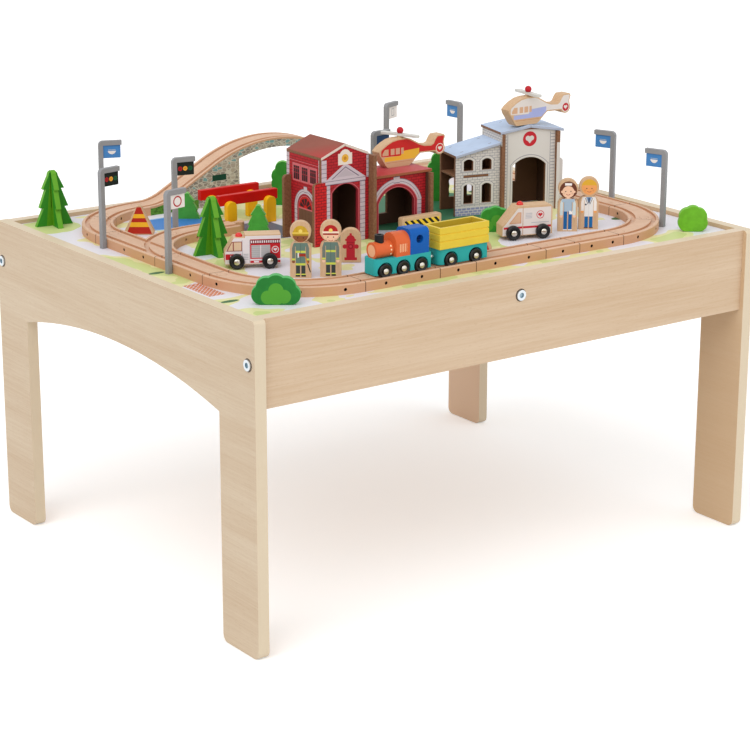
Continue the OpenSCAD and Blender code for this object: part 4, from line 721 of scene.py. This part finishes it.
def stationFront():
    look = stationLook
    p = fibreboard("stationFrontPrint", look)
    x, z = p.x, p.z
    jamb = (abs(p.ny) < 0.5) & (z > 0.3) & (z < 76)
    p.over(look["rim"], jamb & (p.box(x, z, 12, 71, 0, 76) | p.box(x, z, 78, 168, 0, 76)))
    p.over(bricks(p, x, z), p.front)
    stones = blocks(p, x, z)
    tower = p.front & (x < 72)
    p.layers(p.front, look, (bricks(p, x, z, "bright"), (x < 8.2) & (z < 80.4)),
        ("pink", (x < -9.4) & (z < 78)),
        (stones, p.box(x, z, 0.4, 8, 80.2, 108) | p.box(x, z, 68.4, 72, 80, 108)),
        (stones, p.box(x, z, 8.2, 13.2, 0, 76.5) | p.box(x, z, 58.6, 66.4, 0, 76.5)))
    door = p.archGap(x, z, *look["doorArch"])
    slope = 99.6 - abs(x - 36.6) * 0.66
    gable = (z > 76) & (z < slope + 1.8) & (abs(x - 36.6) < 30.4)
    raking = (abs(z - slope + 3.2) < 0.8) & (z > 83)
    niche = p.box(x, z, 25.4, 46.6, 99.4, 113.8) | p.disc(x, z, 36, 110, 8.6)
    p.layers(tower, look, ("rim", door < 3.2), ("pink", (door > 0.9) & (door < 1.7)), ("stone", gable),
        ("stoneLine", gable & ((z < 76.8) | (abs(z - 80.6) < 0.35) | raking)),
        (shade(look["stone"], 0.84), gable & (z > 84.5) & (z < slope - 5.4)), ("niche", niche),
        ("gold", niche & p.disc(x, z, 36, 107.4, 5.2)), ("amber", niche & p.disc(x, z, 36, 107.4, 2.2)))
    garage = p.front & (x > 74)
    gate = p.archGap(x, z, *look["gateArch"])
    archTrim(p, garage, x, z, gate, gateTrim)
    p.over(look["pink"], garage & ((abs(gate - 4.4) < 0.45) | (abs(gate - 0.7) < 0.35)))
    p.over(mdfLook["shade"], p.ny > 0.6)
    return matt(p)


def stationSides():
    look = stationLook
    p = fibreboard("stationSidePrint", look)
    y, z = p.y, p.z
    left = (p.nx < -0.6) & (p.x < 2)
    inner = p.box(p.x, y, 3, 73, 4, 200) | p.box(p.x, y, 75, 170, 4, 200)
    p.over(mdfLook["shade"], (abs(p.nx) > 0.6) & inner)
    p.over(bricks(p, y, z), left | ((p.nx > 0.6) & (p.x > 173)))
    p.over(blocks(p, y, z), left & ((y > 70.4) | (y < 6)) & (z > 78))
    p.over(look["pink"], left & p.box(y, z, 6, 70, 99.4, 100.2))
    for c in (54.6, 36.4, 18.2):  # three windows
        pane = p.box(y, z, c - 6.4, c + 6.4, 76.2, 93.4)
        bars = p.lines(y, [c - 2.2, c + 2.2], 0.4) | p.lines(z, [84.6, 90], 0.45)
        p.layers(left, look, ("pink", p.box(y, z, c - 8.8, c + 8.8, 74, 96.6)), ("dark", pane),
            ("rim", pane & bars))
    gap = p.archGap(y, z, *look["sideArch"])
    archTrim(p, left, y, z, gap, doorTrim)
    fan = (gap < -0.2) & (z > 41)
    hub = p.reach(y, z, 35, 42)
    angle = p.node("ShaderNodeMath", {"operation": "ARCTAN2"}, {0: z - 42, 1: y - 35})
    p.layers(left, look, ("pink", abs(gap - 0.4) < 0.4), ("door", gap < 0),
        (shade(look["door"], 0.72), (gap < 0) & (z < 41) & p.lines(y, [27.5, 35, 42.5], 0.4)),
        ("dark", fan), ("bright", fan & (((angle % 0.628) < 0.12) | (hub < 4) | (abs(hub - 13.6) < 1))),
        ("pink", (gap < 0) & (abs(z - 41.2) < 0.9)))
    return matt(p)


def stationBack():
    p = fibreboard("stationBackPrint", stationLook)
    p.over(bricks(p, p.x, p.z), p.ny > 0.6)
    p.over(mdfLook["shade"], (p.ny < -0.6) & (p.x > 1))
    return matt(p, 0.58)


def roofPaint(name, look, top, edge, slots=(), blush=None):
    p = fibreboard(name, look)
    cloud = p.fit(p.noise((18, 18, 18), 3), 0.3, 0.7)
    p.over(p.mix(shade(look[top], 0.95), shade(look[top], 1.05), cloud), p.nz > 0.5)
    if blush:  # a redder tone towards one side
        colour, along, across, low, high = blush
        p.over(colour, (p.nz > 0.5) & p.fit(p.x * along + p.y * across, low, high))
    p.over(look[edge], p.front)
    for sx, sy in slots:  # where the tabs of the walls come through
        p.over(mdfLook["shade"], (p.nz > 0.5) & p.box(p.x, p.y, sx - 2, sx + 2, sy - 0.6, sy + 0.6))
    return matt(p, 0.5)


dress("station_front_panels", [stationFront()], 0.4)
dress("station_side_walls", [stationSides()], 0.4)
dress("station_back_panels", [stationBack()], 0.4)
for part, name in (("tower", "towerRoofBrown"), ("garage", "garageRoofRed")):
    roof = roofPaint(name, stationLook, part + "Top", part + "Edge", blush=stationLook[part + "Blush"])
    dress("station_%s_roof" % part, [roof], 0.4)
print("fire station done")

# hospital

hospitalLook = looks(at=(127.09, -8.97, boardTop), turn=-14, wall="#d6d1cb", line="#928f96", grey="#96949a",
    base="#969abe", red="#c02430", tab="#7e5840", roof="#b8cae4", eave="#acb4c6", wingX=(12, 52),
    wingY=(8, 44), wardX=(86, 134), wardY=(10, 48), windowX=(11.84, 38.08),
    windowZ=((16, 25), (60, 14)), windowWide=13.5, windowRise=2.97, wardArch=(106.5, 48, 72, 10.56))


def wallBricks(p, u, v):
    look = hospitalLook
    return p.brick(u, v, 7, 3.4, 0.3, look["wall"], shade(look["wall"], 0.95), look["line"])


def hospitalFront():
    look = hospitalLook
    p = fibreboard("hospitalFrontPrint", look)
    x, z = p.x, p.z
    wing = p.front & (x < 64.5)
    p.over(wallBricks(p, x, z), wing)
    plinth = p.brick(x, z, 6.4, 3.6, 0.5, look["base"], shade(look["base"], 0.86), look["wall"])
    p.layers(wing, look, (plinth, z < 11), ("wall", abs(z - 11.6) < 0.7))
    wide = look["windowWide"]
    for x0 in look["windowX"]:  # four windows with a plain surround
        for z0, h in look["windowZ"]:
            gap = p.archGap(x, z, x0 + wide / 2, wide, z0 + 1 + h, look["windowRise"])
            near = wing & (z > z0 - 1.8) & (z < z0 + h + 6)
            p.layers(near, look, ("wall", gap < 3.6), ("grey", abs(gap - 3.4) < 0.35),
                ("grey", (gap < 3.6) & (abs(z - (z0 - 1)) < 0.4)))
    ward = p.front & (x > 68)
    quoins = p.box(x, z, 137.2, 143.4, 8, 104) | p.box(x, z, 69.4, 73.4, 8, 104)
    gap = p.archGap(x, z, *look["wardArch"])
    p.over(look["wall"], ward)
    p.layers(ward, look, ("grey", p.lines(x, [74.4, 136.6], 0.4) & (z < 104)),
        ("grey", quoins & ((z % 4.2) < 0.9)), ("grey", (abs(gap - 3.2) < 0.45) & (z < 90)),
        ("tab", p.box(x, z, 91, 122, 109, 111.6)), ("red", p.disc(x, z, 106.5, 96.4, 10)),
        ("wall", p.heart(x, z, 106.5, 96, 6.6)))
    p.over(mdfLook["shade"], p.ny > 0.6)
    return matt(p)


def hospitalSides():
    p = fibreboard("hospitalSidePrint", hospitalLook)
    x, nx = p.x, p.nx
    p.over(hospitalLook["wall"], (x > 140) & ((nx > 0.6) & (x > 147) | (p.front & (p.z < 90))))
    p.over(wallBricks(p, p.y, p.z), (nx < -0.6) & (x < 66) & (x > 62) & (p.z > 90))
    p.over(mdfLook["shade"], (nx > 0.6) & (x < 71) | ((nx < -0.6) & (x > 100) & (p.y > 1)))
    # upward faces low on the walls are painted lighter, as painted light
    p.over(shade(mdfLook["light"], 1.15), (p.nz > 0.6) & (p.z < 60))
    return matt(p, 0.58)


def hospitalBack():
    p = fibreboard("hospitalBackPrint", hospitalLook)
    p.over(wallBricks(p, p.x, p.z), p.ny > 0.6)
    # the face turned to the inside is painted darker, as painted shade
    p.over(shade(mdfLook["dark"], 0.72), p.ny < -0.6)
    return matt(p, 0.58)


dress("hospital_front_panels", [hospitalFront()], 0.4)
dress("hospital_side_walls", [hospitalSides()], 0.4)
dress("hospital_back_panels", [hospitalBack()], 0.4)
for node, part in (("hospital_tower_roof", "ward"), ("hospital_wing_roof", "wing")):
    slots = [(sx, sy) for sx in hospitalLook[part + "X"] for sy in hospitalLook[part + "Y"]]
    dress(node, [roofPaint(node + "_blue", hospitalLook, "roof", "eave", slots)], 0.4)
print("hospital done")

# road signs

signLook = looks(grey="#929294", blue="#4a86c4", navy="#2c486e", black="#18201c", white="#ece6e2",
    red="#b22228", amber="#f6ac3a", green="#185c3a", rule="#b0bac4", frame="#aaaab0", middle=14.5)
signGround = {"lights": "black", "boat": "blue", "ring": "white", "plain": "white", "navy": "navy"}
signPlaces = [(-334.54, 105.64, 10, "lights"), (-246.65, 263.31, -20, "boat"),
    (-226.26, 112.48, -11, "lights"), (-334.54, -51.18, 10, "ring"), (221.07, 272.24, 22, "plain"),
    (312.75, 219.53, 95, "boat"), (342.54, -73.96, 112, "boat"), (310.45, -208.4, 110, "boat"),
    (81.56, 110.33, 6, "navy")]


def signPaint(index, sx, sy, turn, kind):
    look = signLook
    p = Paint("sign_%d_%s" % (index, kind), (sx, sy, boardTop), turn)
    x, z, middle = p.x, p.z, look["middle"]
    peel = coatOf(p, look[signGround[kind]], 0.04)
    rows = []
    if kind == "lights":
        for cx, tone in ((7.4, "red"), (14.2, "amber"), (21, "green")):
            rows += [(tone, p.disc(x, z, cx, 85.6, 2.9)),
                (shade(look[tone], 0.7), p.disc(x, z, cx, 85.6, 1.6))]
    if kind == "boat":
        rows = [("white", p.disc(x, z, middle, 87.4, 5.4) & (z < 86.4)),
            ("rule", p.box(x, z, 9.6, 19.4, 87.4, 88.2))]
    if kind == "ring":
        rows = [("red", p.disc(x, z, middle, 85.4, 6.6)), ("white", p.disc(x, z, middle, 85.4, 4.9))]
    if kind == "plain":
        rows = [("frame", p.box(x, z, 11, 18, 80.6, 91) & ~p.box(x, z, 12, 17, 81.6, 90))]
    p.layers(p.sides, look, *rows)
    return p.done(0.4, peel, 0.01)


dress("sign_posts", [enamel("postGrey", signLook["grey"], 0.45)], 0.7)
signMiddles = [(sx + signLook["middle"] * math.cos(math.radians(turn)),
                sy + signLook["middle"] * math.sin(math.radians(turn))) for sx, sy, turn, kind in signPlaces]
dress("sign_panels", [signPaint(i, *row) for i, row in enumerate(signPlaces)], 0.5, split=signMiddles)
print("signs done")

# trees and bushes

pineLook = looks(places=[(-322.9, 255.3), (-240.0, 2.9)], turn=-7, half=3.7, height=72, face="#328822",
    inner="#549214", edge="#62a428")
treeLook = looks(near="#4ea844", far="#369030", edge="#7ac260",
    places=[(-162.1, 189.0), (-136.0, 59.0), (-14.8, 184.9), (170.4, 84.0)])
bushLook = looks(blob="#54a036", places=[(-308.1, -241.1), (118.0, -104.1), (324.9, -249.0)],
    faces=[rgb("#288236"), rgb("#389432"), rgb("#70b82c")],
    edges=[rgb("#58b266"), rgb("#58b05a"), rgb("#7abe3e")],
    blobs=[[(-9, 9, 8), (0, 17, 8.5), (9, 10, 8), (0, 8, 8)],
           [(-9, 8, 6.4), (2, 15, 7.4), (10, 9, 6.4)], []])


def pinePaint(index):  # two crossed boards: dark faces, lighter edges, a bright wedge along the middle
    look = pineLook
    p = Paint("pine_%d" % index, (*look["places"][index], boardTop), look["turn"])
    peel = coatOf(p, look["edge"], 0.07)
    faces = (abs(p.ny) > 0.8) & (abs(p.y) < look["half"]) | ((abs(p.nx) > 0.8) & (abs(p.x) < look["half"]))
    cloud = p.fit(p.noise((7, 7, 16), 3), 0.3, 0.7)
    p.over(p.mix(look["face"], shade(look["face"], 0.86), cloud), faces)
    p.over(look["inner"], faces & (p.reach(p.x, p.y, 0, 0) < 4.5 + (look["height"] - p.z) * 0.1))
    return p.done(0.5, peel, 0.02)


def leafPaint(name, at, face, edge, blobs=()):
    p = Paint(name, (*at, boardTop), cornerTurn)
    peel = coatOf(p, edge, 0.06)
    flat = abs(p.ny) > 0.8
    cloud = p.fit(p.noise((9, 9, 9), 3), 0.35, 0.65)
    p.over(p.mix(face, shade(face, 0.84), cloud), flat)
    for blob in blobs:
        p.over(bushLook["blob"], flat & p.disc(p.x, p.z, *blob))
    return p.done(0.5, peel, 0.02)


dress("pine_trees", [pinePaint(0), pinePaint(1)], 0.5, split=pineLook["places"])
trees = [leafPaint("tree_%d" % i, at, treeLook["near" if i < 2 else "far"], treeLook["edge"])
    for i, at in enumerate(treeLook["places"])]
dress("flat_trees", trees, 1.2, split=treeLook["places"])
bushRows = zip(bushLook["places"], bushLook["faces"], bushLook["edges"], bushLook["blobs"])
bushes = [leafPaint("bush_%d" % i, *row) for i, row in enumerate(bushRows)]
dress("bushes", bushes, 1.2, split=bushLook["places"])
print("trees done")

# figures, cones and blocks

figureLook = looks(skin="#f4c8a8", brown="#8c5634", ink="#4a2c24", mouth="#b05448",
    places=[(-216.1, -154.9), (-185.0, -172.1), (195.9, -153.9), (225.1, -160.9)])
uniformLook = looks(top="#688076", sleeve="#707c74", legs="#3a403e", hem=15, cuff=21, body=5.7, leg=5.6,
    band="#ced654", boots="#242628", badge="#f0d66e", handle="#cc8438", axe="#a03428", blade="#ece8e2")
nurseLook = looks(top="#a8bed0", sleeve="#cedee0", legs="#1e629e", hem=26, cuff=21, body=5.2, leg=5.4,
    hair="#683826", white="#f2eeea")
doctorLook = looks(top="#e8e6e2", sleeve="#f0ece6", legs="#1a66a2", hem=17, cuff=24.5, body=5.6, leg=5.2,
    hair="#deac36", skin="#eea462", shirt="#809ec2", ink="#262e42", shoes="#604234")


def figure(name, index):
    return printed(name, (*figureLook["places"][index], boardTop), cornerTurn, 2)


def drawFace(p, on, skin, eyeZ):  # two dots, a small smile and rosy cheeks
    x, z = abs(p.x), p.z
    smile = (abs(p.reach(x, z, 0, eyeZ - 1.4) - 3.2) < 0.35) & (z < eyeZ - 3.4)
    p.over(skin, on)
    p.layers(on, figureLook, (shade(skin, 0.86), p.disc(x, z, 5.2, eyeZ - 2.6, 1.3)),
        ("ink", p.disc(x, z, 3.3, eyeZ, 0.75)), ("mouth", smile))


def clothes(p, look, hand):  # legs, hands, sleeves and a top on a standing figure
    x, z = abs(p.x), p.z
    shoulder = x + z * 0.3
    p.layers(p.sides, look, ("legs", p.box(x, z, 0.7, look["leg"], 2.6, look["hem"] + 0.5)),
        (hand, p.disc(x, z, 8.4, look["cuff"] - 1.2, 1.9)),
        ("sleeve", p.box(x, z, 6.3, 10, look["cuff"], 42) & (shoulder < 20.8)),
        ("top", (x < look["body"]) & (z > look["hem"]) & (z < 42.4) & (shoulder < 20.4)),
        ("top", (x < 8) & (z > 38) & (z < 42.4) & (shoulder < 20.6)))


def firefighter(index, skin, helmet, brim):
    look = uniformLook
    p = figure("firefighter_%d" % index, index)
    x, z = abs(p.x), p.z
    dome = (z > 54) & p.disc(x, z, 0, 54.4, 8.6)
    drawFace(p, p.sides & p.disc(x, z, 0, 52.6, 9.4), skin, 48.4)
    p.layers(p.sides, look, (helmet, dome), (shade(helmet, 0.82), dome & p.lines(x, [4.2], 0.4)),
        (shade(helmet, 0.72), p.box(x, z, -1, 9, 51, 53.4)), (brim, p.box(x, z, -1, 9.6, 53, 55.2)),
        ("badge", p.disc(x, z, 0, 56.4, 2.2)))
    clothes(p, look, skin)
    p.layers(p.sides, look, ("band", (x < 5.7) & p.lines(z, [31.6, 16.6], 1.25)),
        ("band", p.box(x, z, 6.3, 10, 21.4, 23.6)),
        (shade(look["top"], 0.7), (x < 0.3) & (z > 18) & (z < 42)),
        ("band", p.box(x, z, 0.7, 5.8, 3.8, 5.2)), ("boots", p.box(x, z, 0.7, 6, 1.6, 3.8)))
    if index == 0:  # an axe across the coat
        handle = (abs(p.x - 4.6 - (29 - z) * 0.31) < 0.7) & (z > 7) & (z < 29)
        p.layers(p.sides, look, ("handle", handle), ("boots", handle & (z < 17)),
            ("axe", p.box(p.x, z, -2, 6, 26, 29.4)), ("blade", p.box(p.x, z, -3.6, -2, 24.6, 30.4)))
    return sealed(p)


def nurse(index):
    look, skin = nurseLook, figureLook["skin"]
    p = figure("nurse", index)
    x, z = abs(p.x), p.z
    hair = p.disc(x, z, 0, 54, 11) | p.disc(x, z, 7.6, 43.6, 3.6) | p.disc(x, z, 9, 48, 3)
    p.over(look["hair"], p.sides & hair)
    drawFace(p, p.sides & (p.disc(x, z, 0, 51.4, 7.6) | p.disc(x, z, 7.6, 51.6, 1.6)), skin, 52)
    p.layers(p.sides, look, (skin, p.box(x, z, -1, 2, 41.4, 45)),
        ("white", p.box(x, z, -1, 4.4, 59.6, 62.8)))
    clothes(p, look, skin)
    p.layers(p.sides, look, ("white", p.box(p.x, z, 1.6, 6, 22.4, 27)),
        (shade(look["top"], 0.84), (abs(x - 4.6) < 0.7) & (z > 26) & (z < 38)),
        ("white", p.box(x, z, 0.7, 5.8, 1.6, 2.8)))
    return sealed(p)


def doctor(index):
    look = doctorLook
    p = figure("doctor", index)
    x, z = abs(p.x), p.z
    p.over(look["hair"], p.sides & p.disc(x, z, 0, 55.4, 10))
    drawFace(p, p.sides & p.disc(x, z, 0, 54.6, 9.4) & (z < 57.6), look["skin"], 53.4)
    clothes(p, look, look["skin"])
    p.layers(p.sides, look, ("shirt", (z > 33) & (z < 42.4) & (x < (z - 33) * 0.42)),
        ("ink", (z > 34.4) & (z < 41.4) & (x < 0.8)), ("ink", p.disc(p.x, z, -4, 32.6, 1.2)),
        ("ink", (z < 41) & (z > 33) & (abs(x - (z - 30) * 0.42) < 0.35)),
        (shade(look["top"], 0.8), (x < 0.25) & (z > 17.5) & (z < 33)),
        ("shoes", p.box(x, z, 0.7, 5.8, 1.6, 3)))
    return sealed(p)


people = [firefighter(0, figureLook["brown"], rgb("#cea62e"), rgb("#e4c454")),
    firefighter(1, figureLook["skin"], rgb("#b82222"), rgb("#f6e2ca")), nurse(2), doctor(3)]
dress("figures", people, 1.2, split=figureLook["places"])

coneLook = looks(places=[(-259.1, 145.9), (35.7, -169.2)], red="#b62a1c", yellow="#f4b82c")
blockLook = looks(places=[(33.8, -55.9), (240.1, 190.0), (-125.1, -128.0)], yellow="#f2cc3c",
    black="#1e1e1e", stripe=9.4, red="#ba2432", dark="#961626", cap="#c43c46")
# half width from and to, height from and to: barrel, foot, collar, knob and side caps of the hydrant
hydrantBoxes = [(-1, 5.2, 3, 29), (-1, 7.6, 3, 6.6), (-1, 6.6, 27, 29.4), (-1, 1.4, 33, 36.4),
    (6, 9.6, 18.4, 21.6)]


def conePaint(index):
    p = printed("cone_%d" % index, (*coneLook["places"][index], boardTop), cornerTurn, 2)
    x, z = p.x, p.z
    body = p.sides & (abs(x) < 16.6 - z * 0.39) & (z > 1.4) & (z < 36)
    p.over(coneLook["red"], body)
    p.over(coneLook["yellow"], body & ((abs(z - 13.4) < 3) | (abs(z - 24.4) < 2.6)))
    return sealed(p)


def barrierPaint(index, half):
    p = printed("barrier_%d" % index, (*blockLook["places"][index], boardTop))
    panel = p.sides & (abs(p.x) < half - 3.5) & (p.z > 5) & (p.z < 19.5)
    stripe = blockLook["stripe"]
    p.over(blockLook["yellow"], panel)
    p.over(blockLook["black"], panel & (((p.x + p.z) % stripe) < stripe / 2))
    return sealed(p)


def hydrantPaint():
    p = printed("hydrant", (*blockLook["places"][2], boardTop), cornerTurn, 2)
    x, z = abs(p.x), p.z
    body = p.disc(x, z, 0, 29, 5.2) | p.disc(x, z, 7, 20, 2.8)
    for box in hydrantBoxes:
        body = body | p.box(x, z, *box)
    p.layers(p.sides, blockLook, ("red", body),
        ("dark", p.disc(x, z, 0, 20, 3) | p.box(x, z, -1, 5.2, 24.6, 25.4)),
        ("cap", p.disc(x, z, 0, 20, 1.6)))
    return sealed(p)


dress("traffic_cones", [conePaint(0), conePaint(1)], 1.0, split=coneLook["places"])
blocksOnBoard = [barrierPaint(0, 31), barrierPaint(1, 15.5), hydrantPaint()]
dress("street_blocks", blocksOnBoard, 1.0, split=blockLook["places"])
print("figures and blocks done")

# studio

studio = {"camera": (-1.67218, -2.31045, 1.05931), "yaw": 35.967, "pitch": 16.797, "roll": 0.115,
    "focal": 2275.63, "world": 0.7, "floor": 0.92, "floorSize": 30,
    "floorZ": -0.0005, "glow": 0.3, "sensor": 36, "photoWide": 750,
    "lamps": {"key": (1.15, 50, (42, 0, -62)), "fill": (0.45, 70, (55, 0, 20))}}

lens = bpy.data.cameras.new("camera")
lens.sensor_width = studio["sensor"]
lens.lens = studio["focal"] * studio["sensor"] / studio["photoWide"]
lens.clip_end = 50
eye = bpy.data.objects.new("camera", lens)
aim = Matrix.Rotation(math.radians(-studio["yaw"]), 4, "Z")
aim = aim @ Matrix.Rotation(math.radians(90 - studio["pitch"]), 4, "X")
aim = aim @ Matrix.Rotation(math.radians(studio["roll"]), 4, "Z")
eye.matrix_world = Matrix.Translation(studio["camera"]) @ aim
scene.collection.objects.link(eye)
scene.camera = eye


def lampFrom(name, strength, spread, turn):
    light = bpy.data.lights.new(name, "SUN")
    light.energy = strength
    light.angle = math.radians(spread)
    lampObject = bpy.data.objects.new(name, light)
    lampObject.rotation_euler = [math.radians(a) for a in turn]
    scene.collection.objects.link(lampObject)


for name, lampSet in studio["lamps"].items():
    lampFrom(name, *lampSet)


class Tree:  # node making for the world, whose tree has no shader of its own to paint
    node = Paint.node

    def __init__(self, tree):
        self.tree = tree


def shown(made, plain, seen, output):  # one shader for the light, another for what the camera and metal see
    rays = [made.node("ShaderNodeLightPath", {}, {}, "Is %s Ray" % kind)
            for kind in ("Camera", "Glossy", "Transmission")]
    mixed = made.node("ShaderNodeMixShader", {}, {0: rays[0] | rays[1] | rays[2], 1: plain, 2: seen})
    made.tree.links.new(mixed.socket, made.tree.nodes[output].inputs["Surface"])


world = bpy.data.worlds.new("studio")
world.use_nodes = True
scene.world = world
sky = Tree(world.node_tree)
lit, paper = [sky.node("ShaderNodeBackground", {}, {"Color": (1, 1, 1, 1), "Strength": strength})
              for strength in (studio["world"], 1.0)]
shown(sky, lit, paper, "World Output")

grid = bmesh.new()
bmesh.ops.create_grid(grid, x_segments=2, y_segments=2, size=studio["floorSize"])
bmesh.ops.translate(grid, verts=grid.verts, vec=(0, 0, studio["floorZ"]))
floorMesh = bpy.data.meshes.new("floor")
grid.to_mesh(floorMesh)
grid.free()
floor = bpy.data.objects.new("floor", floorMesh)
scene.collection.objects.link(floor)
floorPaint = Paint("floorPaper")
floorPaint.colour = (studio["floor"], studio["floor"], studio["floor"], 1)
floorMesh.materials.append(floorPaint.done(0.9))
bare = Sock(floorPaint, floorPaint.shader.outputs[0])
glow = floorPaint.node("ShaderNodeEmission", {}, {"Strength": studio["glow"]})
shown(floorPaint, bare, floorPaint.node("ShaderNodeAddShader", {}, {0: bare, 1: glow}), "Material Output")

scene.view_settings.view_transform = "Standard"

print("studio done")
